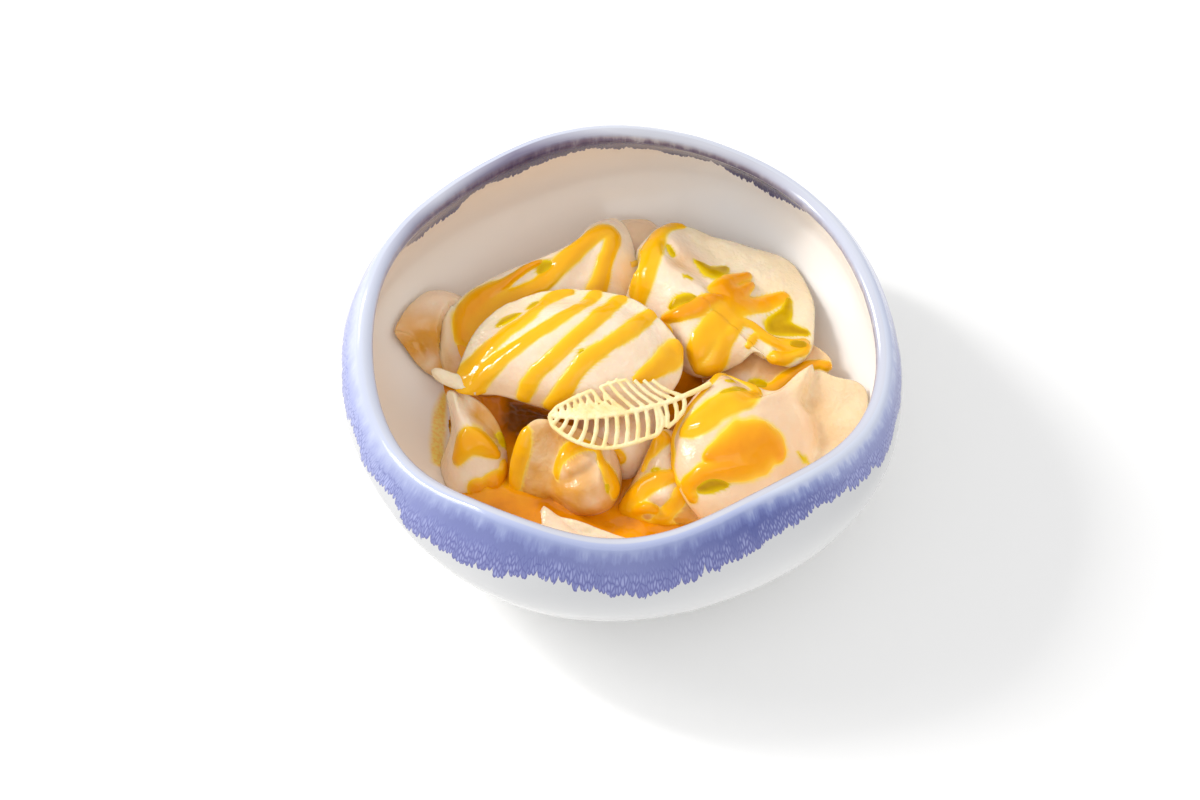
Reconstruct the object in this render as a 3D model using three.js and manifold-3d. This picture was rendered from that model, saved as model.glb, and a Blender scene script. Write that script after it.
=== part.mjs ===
// A hand-thrown bowl of boiled filled dumplings with a drizzled sauce and a lace leaf wafer.
// Millimetres, +Z up. The origin is the middle of the flat foot on the table, and -Y is the front.
import * as THREE from "three";
import { mergeVertices } from "three/addons/utils/BufferGeometryUtils.js";
import Module from "manifold-3d";

const wasm = await Module();
wasm.setup();

const RAD = Math.PI / 180;
const lerp = THREE.MathUtils.lerp;
const clamp01 = (x) => THREE.MathUtils.clamp(x, 0, 1);
const steps = (count) => Array.from({ length: count + 1 }, (_, i) => i / count);

// ---------------------------------------------------------------- driving dimensions

const BOWL = {
  segments: 48,
  bellyRadius: 90,
  bellyHeight: 37.8,
  rimHeight: 59, // mean height of the lip's round centre line
  lipCentreRadius: 79.6,
  lipRadius: 3.4,
  wall: 6,
  footRadius: 36,
  floorHeight: 7,
  floorRadius: 30,
  curvePower: 1.46, // how squarely the lower wall turns up
  curveRoot: 1.97,
  // waves round the bowl as [times round, amplitude, phase in degrees]
  bellyWavePercent: [[2, 2.0, 96], [3, 1.8, 172], [4, 2.0, -91]],
  lipWavePercent: [[2, 2.4, 38], [3, 1.2, -157], [4, 1.7, -92], [5, 1.4, -93]],
  rimWave: [[1, 2.8, 65], [2, 4.4, -107], [3, 1.8, 48], [4, 1.3, -14], [5, 2.9, 112], [6, 0.75, -8]],
};
const GAP = 0.4; // left between touching pieces
const POOL_LEVEL = 15; // height of the sauce that stands in the bottom of the bowl

// ---------------------------------------------------------------- bowl

const wave = (terms, theta) =>
  terms.reduce((sum, [k, amplitude, phase]) => sum + amplitude * Math.cos(k * theta - phase * RAD), 0);
const bellyFactor = (theta) => 1 + wave(BOWL.bellyWavePercent, theta) / 100;
const lipFactor = (theta) => 1 + wave(BOWL.lipWavePercent, theta) / 100;
const rimHeightAt = (theta) => BOWL.rimHeight + wave(BOWL.rimWave, theta);

// A lower wall that leaves `start` radius at `t` 0 and reaches `end` radius, upright, at `t` 1.
const lowerWall = (start, end, t) =>
  start + (end - start) * (1 - (1 - t) ** BOWL.curvePower) ** (1 / BOWL.curveRoot);

// Each station of the bowl's section gives [radius, height] at an angle round the bowl.
function outerLower(t) {
  return (theta) => [
    lowerWall(BOWL.footRadius, BOWL.bellyRadius, t) * bellyFactor(theta),
    BOWL.bellyHeight * t,
  ];
}
function upper(bellyRadius, lipRadius, t) {
  return (theta) => [
    (bellyRadius + (lipRadius - bellyRadius) * t ** 2) *
      lerp(bellyFactor(theta), lipFactor(theta), t ** 2),
    lerp(BOWL.bellyHeight, rimHeightAt(theta), t),
  ];
}
function lipArc(angle) {
  return (theta) => [
    (BOWL.lipCentreRadius + BOWL.lipRadius * Math.cos(angle)) * lipFactor(theta),
    rimHeightAt(theta) + BOWL.lipRadius * Math.sin(angle),
  ];
}
function innerLower(t, inset = 0) {
  return (theta) => [
    (lowerWall(BOWL.floorRadius, BOWL.bellyRadius - BOWL.wall, t) - inset) * bellyFactor(theta),
    lerp(BOWL.floorHeight + inset, BOWL.bellyHeight, t),
  ];
}
const fixed = (radius, height) => () => [radius, height];

// A closed solid of revolution whose stations run from the axis at the bottom to the axis again.
function revolve(bottomHeight, stations, topHeight, segments) {
  const points = [[0, 0, bottomHeight]];
  for (const station of stations) {
    for (let j = 0; j < segments; j++) {
      const theta = (j / segments) * 2 * Math.PI;
      const [radius, height] = station(theta);
      points.push([radius * Math.cos(theta), radius * Math.sin(theta), height]);
    }
  }
  points.push([0, 0, topHeight]);
  return solidFrom(points, cappedRings(stations.length, segments));
}

// Triangles of a sphere-like grid: a first pole, `rings` rings of `segments` points, a last pole.
function cappedRings(rings, segments) {
  const triangles = [];
  const at = (ring, j) => 1 + ring * segments + (j % segments);
  const last = 1 + rings * segments;
  for (let j = 0; j < segments; j++) {
    triangles.push([0, at(0, j + 1), at(0, j)]);
    for (let ring = 0; ring + 1 < rings; ring++) {
      const [a, b, c, d] = [at(ring, j), at(ring, j + 1), at(ring + 1, j + 1), at(ring + 1, j)];
      triangles.push([a, b, c], [a, c, d]);
    }
    triangles.push([last, at(rings - 1, j), at(rings - 1, j + 1)]);
  }
  return triangles;
}

function makeBowl() {
  const { bellyRadius, wall, lipCentreRadius, lipRadius } = BOWL;
  const stations = [
    ...[0, 0.06, 0.2, 0.42, 0.7, 1].map(outerLower),
    ...[0.3, 0.6, 0.85].map((t) => upper(bellyRadius, lipCentreRadius + lipRadius, t)),
    ...[0, 45, 90, 135, 180].map((angle) => lipArc(angle * RAD)),
    ...[0.75, 0.4].map((t) => upper(bellyRadius - wall, lipCentreRadius - lipRadius, t)),
    ...[1, 0.7, 0.4, 0.15, 0.03].map((t) => innerLower(t)),
  ];
  return revolve(0, stations, BOWL.floorHeight, BOWL.segments);
}

// The space inside the bowl, `inset` clear of its wall and open above.
function makeCavity(inset) {
  const stations = [
    ...[0.03, 0.15, 0.4, 0.7, 1].map((t) => innerLower(t, inset)),
    ...[0.4, 0.75, 1].map((t) =>
      upper(BOWL.bellyRadius - BOWL.wall - inset, BOWL.lipCentreRadius - BOWL.lipRadius - inset, t)),
    fixed(BOWL.lipCentreRadius, 2 * BOWL.rimHeight),
  ];
  return revolve(BOWL.floorHeight + inset, stations, 2 * BOWL.rimHeight, BOWL.segments);
}

// ---------------------------------------------------------------- solids

function solidFrom(points, triangles) {
  const mesh = new wasm.Mesh({
    numProp: 3,
    vertProperties: new Float32Array(points.flat()),
    triVerts: new Uint32Array(triangles.flat()),
  });
  return new wasm.Manifold(mesh);
}

function solidOfGeometry(geometry) {
  geometry.deleteAttribute("normal");
  geometry.deleteAttribute("uv");
  const merged = mergeVertices(geometry);
  const mesh = new wasm.Mesh({
    numProp: 3,
    vertProperties: merged.attributes.position.array,
    triVerts: new Uint32Array(merged.index.array),
  });
  return new wasm.Manifold(mesh);
}

function largestBody(solid) {
  const bodies = solid.decompose();
  return bodies.reduce((best, body) => (body.volume() > best.volume() ? body : best));
}

function meshOf(name, solid, material) {
  const { vertProperties, triVerts } = largestBody(solid).getMesh();
  const geometry = new THREE.BufferGeometry();
  geometry.setAttribute("position", new THREE.BufferAttribute(vertProperties, 3));
  geometry.setIndex(new THREE.BufferAttribute(triVerts, 1));
  const mesh = new THREE.Mesh(geometry, material);
  mesh.name = name;
  return mesh;
}

// ---------------------------------------------------------------- dumplings

// A dumpling is a round of dough folded over its filling and sealed. Its rim is the loop where the
// upper and lower dough meet, given clockwise from above by a few points [x, y, z, skirt], where
// skirt is how wide the flat sealed dough is there: 0 where the dough is only folded. The filling
// swells round the point `belly`, by `crown` towards `up` and by `keel` the other way.
const DOUGH = 3; // thickness of the sealed skirt
const SEALED_AT = 4; // skirt width from which the dough leaves the filling in a hollow curve
const EDGE_SHARE = 0.15; // outer share of the way to the rim where the dough's edge is rounded
const UPPER_RINGS = [0.3, 0.55, 0.74, 0.87, 0.96];
const LOWER_RINGS = [0.9, 0.55];
const AROUND = 22;

const DUMPLINGS = [
  {
    name: "dumpling_top",
    belly: [-18, 9, 38],
    crown: 11,
    keel: 9,
    rim: [[-54, -4, 35, 4], [-49, 15, 38, 4], [-36, 27, 41, 5], [-16, 30, 43, 5], [5, 24, 43, 4],
      [18, 9, 39, 3], [15, -5, 35, 1], [0, -13, 33, 0], [-21, -11, 33, 0], [-40, -6, 34, 1]],
  },
  {
    name: "dumpling_back_left",
    belly: [-11, 47, 33],
    crown: 9,
    keel: 15,
    rim: [[-57, 27, 29, 4], [-49, 38, 33, 2], [-31, 46, 36, 2], [-18, 52, 38, 1], [-11, 61, 38, 1],
      [-2, 64, 37, 2], [3, 55, 35, 2], [4, 40, 29, 2], [-11, 26, 24, 0], [-34, 20, 22, 0],
      [-54, 15, 21, 3]],
  },
  {
    name: "dumpling_back_right",
    belly: [14, 33, 34],
    crown: 9,
    keel: 14,
    rim: [[15, 63, 37, 2], [27, 61, 33, 8], [42, 58, 30, 16], [56, 53, 28, 20], [62, 38, 28, 20],
      [62, 25, 31, 18], [60, 12, 32, 14], [54, 7, 32, 11], [48, 8, 33, 8], [42, 10, 36, 5],
      [36, 8, 31, 1], [24, 5, 31, 0], [15, 15, 28, 0], [5, 28, 29, 0], [-1, 39, 33, 0],
      [5, 53, 37, 1]],
  },
  {
    name: "dumpling_right",
    belly: [35, -20, 31],
    crown: 11,
    keel: 14,
    rim: [[25, -1, 32, 0], [31, 3, 33, 1], [40, -1, 33, 3], [49, -3, 33, 6], [59, 4, 35, 12],
      [67, 2, 34, 18], [77, -1, 31, 22], [76, -14, 29, 16], [65, -29, 26, 8], [45, -44, 24, 3],
      [28, -47, 22, 0], [20, -42, 25, 0], [15, -31, 28, 0], [16, -16, 31, 0]],
  },
  {
    name: "dumpling_left",
    belly: [-49, -19, 22],
    up: [-0.2, -0.7, 0.65],
    crown: 7,
    keel: 8,
    rim: [[-57, -4, 33, 5], [-51, -6, 34, 4], [-44, -10, 31, 2], [-39, -17, 25, 0],
      [-38, -24, 18, 0], [-43, -30, 13, 0], [-55, -31, 12, 0], [-61, -22, 15, 1],
      [-59, -12, 23, 2]],
  },
  {
    name: "dumpling_front",
    belly: [-12, -30, 22],
    up: [0, -0.75, 0.65],
    crown: 8,
    keel: 8,
    rim: [[-29, -17, 36, 12], [-16, -17, 32, 8], [-5, -20, 27, 0], [-1, -28, 20, 0],
      [-4, -36, 15, 0], [-14, -38, 13, 0], [-24, -34, 14, 2], [-36, -32, 15, 8],
      [-36, -24, 27, 14]],
  },
  {
    name: "dumpling_front_right",
    belly: [11, -30, 21],
    up: [0.1, -0.6, 0.8],
    crown: 7,
    keel: 8,
    rim: [[8, -17, 30, 2], [19, -16, 25, 0], [33, -23, 19, 0], [36, -35, 16, 0], [26, -43, 14, 0],
      [11, -43, 13, 0], [3, -41, 14, 0], [-4, -36, 16, 0], [-2, -27, 23, 0]],
  },
  {
    name: "dumpling_far_left",
    belly: [-58, 24, 23],
    crown: 8,
    keel: 8,
    rim: [[-74, 23, 30, 3], [-70, 35, 30, 2], [-61, 39, 31, 1], [-48, 38, 24, 1], [-36, 28, 18, 0],
      [-34, 12, 16, 0], [-46, 7, 16, 0], [-58, 13, 17, 3], [-66, 16, 18, 3], [-71, 20, 23, 4]],
  },
  {
    name: "dumpling_back",
    belly: [4, 56, 22],
    crown: 8,
    keel: 9,
    rim: [[-4, 68, 29, 1], [4, 70, 30, 2], [11, 68, 29, 1], [18, 57, 24, 0], [19, 42, 18, 0],
      [10, 28, 16, 0], [-4, 26, 16, 0], [-12, 38, 17, 0], [-9, 57, 23, 0]],
  },
  {
    name: "dumpling_under_right",
    belly: [46, 13, 21],
    crown: 7,
    keel: 9,
    rim: [[25, 10, 21, 0], [30, 28, 19, 0], [42, 41, 19, 0], [56, 34, 22, 2], [61, 20, 28, 3],
      [67, 10, 30, 4], [61, 2, 27, 3], [50, -6, 21, 0], [34, -6, 19, 0]],
  },
  {
    name: "dumpling_middle",
    belly: [0, -9, 20],
    crown: 8,
    keel: 8,
    rim: [[-9, -22, 16, 0], [-15, -11, 17, 0], [-17, 5, 19, 2], [-9, 18, 20, 3], [8, 18, 20, 2],
      [14, 4, 20, 0], [12, -10, 19, 0], [6, -22, 18, 0], [0, -26, 16, 0]],
  },
  {
    name: "dumpling_front_edge",
    belly: [-15, -50, 15],
    crown: 4,
    keel: 5,
    rim: [[-27, -36, 18, 5], [-20, -42, 18, 6], [-10, -44, 18, 6], [-2, -48, 18, 5], [6, -53, 17, 3],
      [-5, -63, 19, 0], [-22, -59, 19, 0], [-33, -46, 18, 2]],
  },
];

// The value at share `u` of the way round a closed list of points, by a Catmull-Rom spline.
function loopAt(points, u) {
  const place = u * points.length;
  const [a, b, c, d] = [-1, 0, 1, 2].map(
    (step) => points[(Math.floor(place) + step + points.length) % points.length],
  );
  const t = place - Math.floor(place);
  return b.map((v, i) => {
    const slope = c[i] - a[i];
    const square = 2 * a[i] - 5 * v + 4 * c[i] - d[i];
    const cube = 3 * (v - c[i]) + d[i] - a[i];
    return v + 0.5 * t * (slope + t * (square + t * cube));
  });
}

// The point of the dough at share `u` round and share `t` of the way out from the belly, on the
// upper dough (side 1) or the lower (side -1), `grow` mm outside it.
function doughPoint(d, u, t, side, grow) {
  const [x, y, z, skirt] = loopAt(d.rim, u);
  const rim = new THREE.Vector3(x, y, z);
  const belly = new THREE.Vector3(...d.belly);
  const up = new THREE.Vector3(...(d.up ?? [0, 0, 1])).normalize();
  const reach = rim.distanceTo(belly);
  const bellyShare = 1 - Math.max(0, skirt) / reach;
  const sealed = clamp01(skirt / SEALED_AT);
  const swell = Math.max(0, 1 - (t / bellyShare) ** 2) ** lerp(0.55, 1.1, sealed);
  const edge = Math.sqrt(1 - clamp01((t - 1 + EDGE_SHARE) / EDGE_SHARE) ** 2);
  const height = (side > 0 ? d.crown : d.keel) * swell + (DOUGH / 2) * edge;
  const point = belly.clone().lerp(rim, t + (grow / reach) * t);
  return point.addScaledVector(up, side * (height + grow));
}

function makeDumpling(d, grow = 0) {
  const levels = [...UPPER_RINGS.map((t) => [t, 1]), [1, 0], ...LOWER_RINGS.map((t) => [t, -1])];
  const points = [doughPoint(d, 0, 0, 1, grow).toArray()];
  for (const [t, side] of levels) {
    for (let j = 0; j < AROUND; j++) points.push(doughPoint(d, j / AROUND, t, side, grow).toArray());
  }
  points.push(doughPoint(d, 0, 0, -1, grow).toArray());
  return solidFrom(points, cappedRings(levels.length, AROUND));
}

// ---------------------------------------------------------------- drizzle

// Each run of sauce lies along a path seen from above, [x, y, width], on one dumpling.
const DRIZZLE_HEIGHT = 1.2;
const DRIZZLE_SINK = 1.6; // how deep a run is set into the dough under it
const DRIZZLE_STEP = 7;

// The pinched end of the seam that sticks out of the top dumpling as a small tongue of dough.
const TONGUE = {
  path: [[-49, -3, 35], [-56, -1, 36], [-62, 2, 37]],
  startWidth: 7,
  endWidth: 4,
  thickness: 3.2,
};

const DRIZZLE = {
  dumpling_top: [
    [[-19, 27, 4], [-24, 18, 4], [-37, 12, 4], [-46, 5, 5], [-52, -3, 4]],
    [[-7, 26, 4], [-18, 16, 4], [-31, 7, 4], [-42, 0, 5], [-48, -5, 4]],
    [[1, 24, 4], [-9, 12, 4], [-20, 1, 4], [-30, -5, 4]],
    [[10, 20, 4], [-1, 8, 5], [-13, -2, 5], [-20, -9, 4]],
    [[15, 8, 5], [6, -3, 6], [-1, -10, 6]],
  ],
  dumpling_back_left: [
    [[-29, 43, 4], [-41, 36, 4], [-52, 30, 6], [-53, 23, 6]],
    [[-47, 24, 5], [-34, 33, 4], [-21, 42, 4], [-11, 52, 4], [-4, 55, 5], [0, 50, 4]],
    [[-4, 49, 5], [-9, 39, 5], [-11, 33, 4]],
  ],
  dumpling_back_right: [
    [[16, 60, 5], [8, 53, 8], [4, 42, 8], [4, 31, 6]],
    [[36, 42, 8], [34, 32, 11], [35, 23, 10], [29, 13, 6], [24, 7, 5]],
    [[33, 25, 8], [45, 30, 6], [53, 37, 4]],
    [[32, 27, 8], [23, 22, 6], [12, 22, 3]],
    [[42, 18, 5], [50, 17, 8], [58, 16, 8]],
  ],
  dumpling_right: [
    [[43, -5, 4], [31, -17, 6], [20, -24, 6], [16, -33, 4]],
    [[47, -24, 10], [39, -29, 17], [31, -34, 9], [21, -39, 5]],
  ],
  dumpling_under_right: [[[50, 3, 4], [58, 8, 5], [65, 10, 4]]],
  dumpling_left: [[[-54, -22, 8], [-48, -22, 11], [-42, -20, 7]]],
  dumpling_front: [
    [[-28, -18, 4], [-33, -23, 5], [-35, -31, 5]],
    [[-14, -22, 5], [-20, -26, 5], [-21, -32, 4]],
  ],
  dumpling_front_right: [
    [[14, -33, 4], [6, -36, 5], [-1, -39, 4]],
    [[15, -23, 4], [8, -29, 4]],
  ],
};

// The height of the top of a solid's faces over the point (x, y), or `otherwise` beside it.
function heightOver(mesh, x, y, otherwise) {
  const above = new THREE.Vector3(x, y, 2 * BOWL.rimHeight);
  const [hit] = new THREE.Raycaster(above, new THREE.Vector3(0, 0, -1)).intersectObject(mesh);
  return hit ? hit.point.z : otherwise;
}

// A closed bar through cross-sections, each a ring of points, capped at both ends.
function loft(sections) {
  const middle = (ring) => ring[0].map((_, i) => ring.reduce((sum, p) => sum + p[i], 0) / ring.length);
  const points = [middle(sections[0]), ...sections.flat(), middle(sections.at(-1))];
  return solidFrom(points, cappedRings(sections.length, sections[0].length));
}

function makeTongue() {
  const line = new THREE.CatmullRomCurve3(TONGUE.path.map((p) => new THREE.Vector3(...p)));
  const sections = steps(4).map((u) => {
    const centre = line.getPoint(u);
    const along = line.getTangent(u);
    const side = new THREE.Vector3(-along.y, along.x, 0).normalize();
    const taper = u === 1 ? 0.6 : 1;
    const halfWidth = (taper * lerp(TONGUE.startWidth, TONGUE.endWidth, u)) / 2;
    const halfThickness = (taper * TONGUE.thickness) / 2;
    const ring = [[-1, 0], [-0.6, -1], [0.6, -1], [1, 0], [0.6, 1], [-0.6, 1]];
    return ring.map(([a, b]) => {
      const point = centre.clone().addScaledVector(side, a * halfWidth);
      point.z += b * halfThickness;
      return point.toArray();
    });
  });
  return loft(sections);
}

function makeDrizzle(path, bed, bedHeight, grow = 0) {
  const line = new THREE.CatmullRomCurve3(path.map(([x, y]) => new THREE.Vector3(x, y, 0)));
  const widths = new THREE.CatmullRomCurve3(path.map(([, , w], i) => new THREE.Vector3(w, i, 0)));
  const count = Math.max(3, Math.round(line.getLength() / DRIZZLE_STEP));
  let last = heightOver(bed, path[0][0], path[0][1], bedHeight);
  const sections = steps(count).map((u) => {
    const centre = line.getPoint(u);
    const along = line.getTangent(u);
    const taper = u === 0 || u === 1 ? 0.6 : 1;
    const half = (taper * widths.getPoint(u).x) / 2 + grow;
    const crest = DRIZZLE_HEIGHT + grow;
    // share of the half-width sideways, and height over the dough
    const ring = [[0, -DRIZZLE_SINK], [-1, -0.3], [-0.6, crest], [0.6, crest], [1, -0.3]];
    return ring.map(([side, lift]) => {
      const x = centre.x + along.y * side * half;
      const y = centre.y - along.x * side * half;
      last = heightOver(bed, x, y, last);
      return [x, y, last + taper * lift];
    });
  });
  return loft(sections);
}

// ---------------------------------------------------------------- lace leaf

// A thin wafer baked in a stencil: a midrib, ribs with open gaps between them, and a rim that
// joins the ribs' ends along the front edge only.
const LEAF = {
  midrib: [
    [-24, -16, 36.5], [-13, -18.5, 39], [-2, -18, 40.5], [11, -15, 41.3], [20, -11, 41.4], [27, -7, 41.6],
  ],
  blade: 45, // length of the ribbed blade, from the tip along the midrib
  frontWidth: 9.5,
  backWidth: 11,
  midribWidth: 1.7,
  slope: 24, // degrees by which the front half falls and the back half rises
  ribs: 14,
  tipToRib: 3, // from the tip to the first rib's foot
  frontLean: 1.5, // how far a rib's outer end lies towards the tip
  backLean: 6,
  bar: 1.2, // width of a rib
  thickness: 1.1,
  waves: 2.5,
  wave: 0.6,
};

const midribCurve = new THREE.CatmullRomCurve3(LEAF.midrib.map((p) => new THREE.Vector3(...p)));

// The blade's width on one side at `along` mm from its tip: pointed at both ends.
const bladeEdge = (along, width) =>
  width * Math.sin(Math.PI * lerp(0.03, 0.96, clamp01(along / LEAF.blade))) ** 0.7;

// The flat stencil outline, with the tip at 0 and the back edge towards +Y.
function leafStencil() {
  const { blade, ribs, tipToRib, frontLean, backLean, bar, frontWidth, backWidth } = LEAF;
  const spine = LEAF.midribWidth / 2;
  const stemEnd = midribCurve.getLength();
  const bases = steps(ribs - 1).map((share) => lerp(tipToRib, blade - bar, share));
  const endsFor = (lean) => bases.map((base) => Math.max(bar, base - lean * clamp01(base / (2 * lean))));
  const frontEnds = endsFor(frontLean);
  const backEnds = endsFor(backLean);
  const shape = new THREE.Shape();
  shape.moveTo(0, spine);
  shape.lineTo(0, -spine);
  for (const end of frontEnds) shape.lineTo(end, -bladeEdge(end, frontWidth));
  shape.lineTo(bases.at(-1) + bar / 2, -spine);
  shape.lineTo(stemEnd, -spine);
  shape.lineTo(stemEnd, spine);
  for (let i = ribs - 1; i >= 0; i--) {
    const reach = bladeEdge(backEnds[i], backWidth);
    shape.lineTo(bases[i] + bar / 2, spine);
    shape.lineTo(backEnds[i] + bar / 2, reach);
    shape.lineTo(backEnds[i] - bar / 2, reach);
    shape.lineTo(bases[i] - bar / 2, spine);
  }
  for (let i = 0; i + 1 < ribs; i++) {
    const [near, far] = [frontEnds[i], frontEnds[i + 1]];
    const gap = new THREE.Path();
    gap.moveTo(bases[i] + bar / 2, -spine);
    gap.lineTo(bases[i + 1] - bar / 2, -spine);
    gap.lineTo(far - bar / 2, bar - bladeEdge(far, frontWidth));
    gap.lineTo(near + bar / 2, bar - bladeEdge(near, frontWidth));
    gap.closePath();
    shape.holes.push(gap);
  }
  return shape;
}

function makeLeaf() {
  const length = midribCurve.getLength();
  const flat = { depth: LEAF.thickness, bevelEnabled: false };
  const geometry = new THREE.ExtrudeGeometry(leafStencil(), flat);
  const position = geometry.attributes.position;
  for (let i = 0; i < position.count; i++) {
    const [along, across, height] = [position.getX(i), position.getY(i), position.getZ(i)];
    const u = clamp01(along / length);
    const tangent = midribCurve.getTangentAt(u);
    const sideways = new THREE.Vector3(-tangent.y, tangent.x, 0).normalize();
    const point = midribCurve.getPointAt(u);
    point.addScaledVector(sideways, across * Math.cos(LEAF.slope * RAD));
    point.z += across * Math.sin(LEAF.slope * RAD) + height;
    const share = Math.abs(across) / LEAF.backWidth;
    point.z += LEAF.wave * share * Math.sin(2 * Math.PI * LEAF.waves * u);
    position.setXYZ(i, ...point.toArray());
  }
  return solidOfGeometry(geometry);
}

// ---------------------------------------------------------------- object

const porcelain = new THREE.MeshStandardMaterial({ color: 0xefefee, roughness: 0.25, metalness: 0 });
const dough = new THREE.MeshStandardMaterial({ color: 0xf3dcbc, roughness: 0.35, metalness: 0 });
const sauce = new THREE.MeshStandardMaterial({ color: 0xe08a14, roughness: 0.2, metalness: 0 });
const wafer = new THREE.MeshStandardMaterial({ color: 0xf1dfa0, roughness: 0.6, metalness: 0 });

const bowlOfDumplings = new THREE.Group();
bowlOfDumplings.add(meshOf("bowl", makeBowl(), porcelain));

const cavity = makeCavity(GAP);
const laid = [];
for (const d of DUMPLINGS) {
  const bare = makeDumpling(d);
  const bed = meshOf(d.name, bare, dough);
  const paths = DRIZZLE[d.name] ?? [];
  const drizzle = (grow) => paths.map((path) => makeDrizzle(path, bed, d.belly[2], grow));
  let solid = d.name === "dumpling_top" ? bare.add(makeTongue()) : bare;
  for (const run of drizzle(0)) solid = solid.add(run);
  solid = solid.intersect(cavity);
  for (const other of laid) solid = solid.subtract(other);
  laid.push(makeDumpling(d, GAP), ...drizzle(GAP));
  bowlOfDumplings.add(meshOf(d.name, solid, dough));
}
const lowerHalf = new THREE.BoxGeometry(3 * BOWL.bellyRadius, 3 * BOWL.bellyRadius, 2 * POOL_LEVEL);
let pool = cavity.intersect(solidOfGeometry(lowerHalf));
for (const other of laid) pool = pool.subtract(other);
bowlOfDumplings.add(meshOf("sauce_pool", pool, sauce));
bowlOfDumplings.add(meshOf("lace_leaf", makeLeaf(), wafer));

export default bowlOfDumplings;
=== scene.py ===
import math

import bpy
import numpy as np
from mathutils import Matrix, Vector, noise
from mathutils.bvhtree import BVHTree


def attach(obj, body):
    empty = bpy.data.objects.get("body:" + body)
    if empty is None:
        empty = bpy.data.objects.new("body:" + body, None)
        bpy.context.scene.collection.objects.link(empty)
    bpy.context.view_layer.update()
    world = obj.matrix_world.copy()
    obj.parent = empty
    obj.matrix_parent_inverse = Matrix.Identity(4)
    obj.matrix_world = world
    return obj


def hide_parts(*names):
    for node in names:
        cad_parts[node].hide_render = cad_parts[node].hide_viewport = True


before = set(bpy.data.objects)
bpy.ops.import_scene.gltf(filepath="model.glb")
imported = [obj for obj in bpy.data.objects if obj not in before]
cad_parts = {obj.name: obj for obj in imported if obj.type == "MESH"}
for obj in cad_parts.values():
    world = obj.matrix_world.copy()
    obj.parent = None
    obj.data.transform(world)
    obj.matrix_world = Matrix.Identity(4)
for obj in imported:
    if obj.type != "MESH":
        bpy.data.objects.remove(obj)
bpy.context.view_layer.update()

# A hand-formed bowl of boiled dumplings with drizzled sauce, herb oil and a lace leaf wafer.
# Shapes are worked out in millimetres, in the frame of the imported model, and scaled once into meshes.
MM = 0.001
RAD = math.pi / 180


def smoothstep(x):
    x = np.clip(x, 0, 1)
    return x * x * (3 - 2 * x)


# ---- camera and picture

PICTURE = (1200, 800)  # the picture that places given in pixels refer to
LENS = 85
SENSOR = 36
CAMERA = np.array([-8.08, -534.8, 767.6])
CAMERA_TILT = 35.7 * RAD  # from straight down
FOCAL = LENS / SENSOR * PICTURE[0]  # in pixels
FORWARD = np.array([0, math.sin(CAMERA_TILT), -math.cos(CAMERA_TILT)])
UPWARD = np.array([0, math.cos(CAMERA_TILT), math.sin(CAMERA_TILT)])


def make_camera():
    data = bpy.data.cameras.new("camera")
    data.lens = LENS
    data.sensor_width = SENSOR
    camera = bpy.data.objects.new("camera", data)
    camera.location = CAMERA * MM
    camera.rotation_euler = (CAMERA_TILT, 0, 0)
    bpy.context.scene.collection.objects.link(camera)
    bpy.context.scene.camera = camera


def pixel_ray(x, y):
    """The direction, in the frame, that the camera sees a pixel in."""
    right, up = (x - PICTURE[0] / 2) / FOCAL, (PICTURE[1] / 2 - y) / FOCAL
    ray = FORWARD + right * np.array([1, 0, 0]) + up * UPWARD
    return ray / np.linalg.norm(ray)


def seen_at(points):
    """The pixels at which the camera sees points."""
    away = np.asarray(points) - CAMERA
    right, up = away[:, 0], away @ UPWARD
    scale = FOCAL / (away @ FORWARD)
    return np.stack([PICTURE[0] / 2 + scale * right, PICTURE[1] / 2 - scale * up], 1)


# ---- meshes

def store(mesh, name, numbers):
    """Stores a number on each point of a mesh, for its material."""
    mesh.attributes.new(name, "FLOAT", "POINT").data.foreach_set("value", np.asarray(numbers, float))


def link_mesh(name, points, faces, values=None):
    """A smooth mesh object from points in mm, with named numbers stored on its points."""
    mesh = bpy.data.meshes.new(name)
    mesh.from_pydata((np.asarray(points) * MM).tolist(), [], [tuple(map(int, f)) for f in faces])
    mesh.validate()
    for key, numbers in (values or {}).items():
        store(mesh, key, numbers)
    mesh.polygons.foreach_set("use_smooth", [True] * len(mesh.polygons))
    mesh.update()
    thing = bpy.data.objects.new(name, mesh)
    bpy.context.scene.collection.objects.link(thing)
    return thing


def finish_piece(thing, material, slot, *nodes):
    thing.data.materials.append(material)
    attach(thing, "root")
    if nodes:
        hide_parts(*nodes)


def normals_of(thing):
    out = np.zeros(len(thing.data.vertices) * 3, np.float32)
    thing.data.vertices.foreach_get("normal", out)
    return out.reshape(-1, 3).astype(float)


def bvh_of(points, faces):
    return BVHTree.FromPolygons([Vector(p) for p in points], [tuple(map(int, f)) for f in faces])


def capped_rings(rings, around):
    """Faces of a sphere-like grid: a first pole, rings of points that go round, a last pole."""
    at = lambda ring, j: 1 + ring * around + j % around
    last = 1 + rings * around
    faces = []
    for j in range(around):
        faces.append((0, at(0, j + 1), at(0, j)))
        for ring in range(rings - 1):
            faces.append((at(ring, j), at(ring, j + 1), at(ring + 1, j + 1), at(ring + 1, j)))
        faces.append((last, at(rings - 1, j), at(rings - 1, j + 1)))
    return faces


SEED_STEP = (17.3, 5.1, 11.7)


def lumps(points, size, seed):
    """Smooth noise, about -1 to 1, with lumps of that size in mm."""
    shift = Vector(seed * step for step in SEED_STEP)
    return np.array([noise.noise(Vector(p) / size + shift) for p in points])


def unevenness(points, terms, seed=0):
    """A sum of lumps, from terms of their height and size in mm and what the seed is raised by."""
    return sum(height * lumps(points, size, seed + more) for height, size, more in terms)


def gaussian(points, x, y, reach):
    """1 at a place on the table, falling to 0 over its reach."""
    return np.exp(-((points[:, 0] - x) ** 2 + (points[:, 1] - y) ** 2) / reach ** 2)


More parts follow.
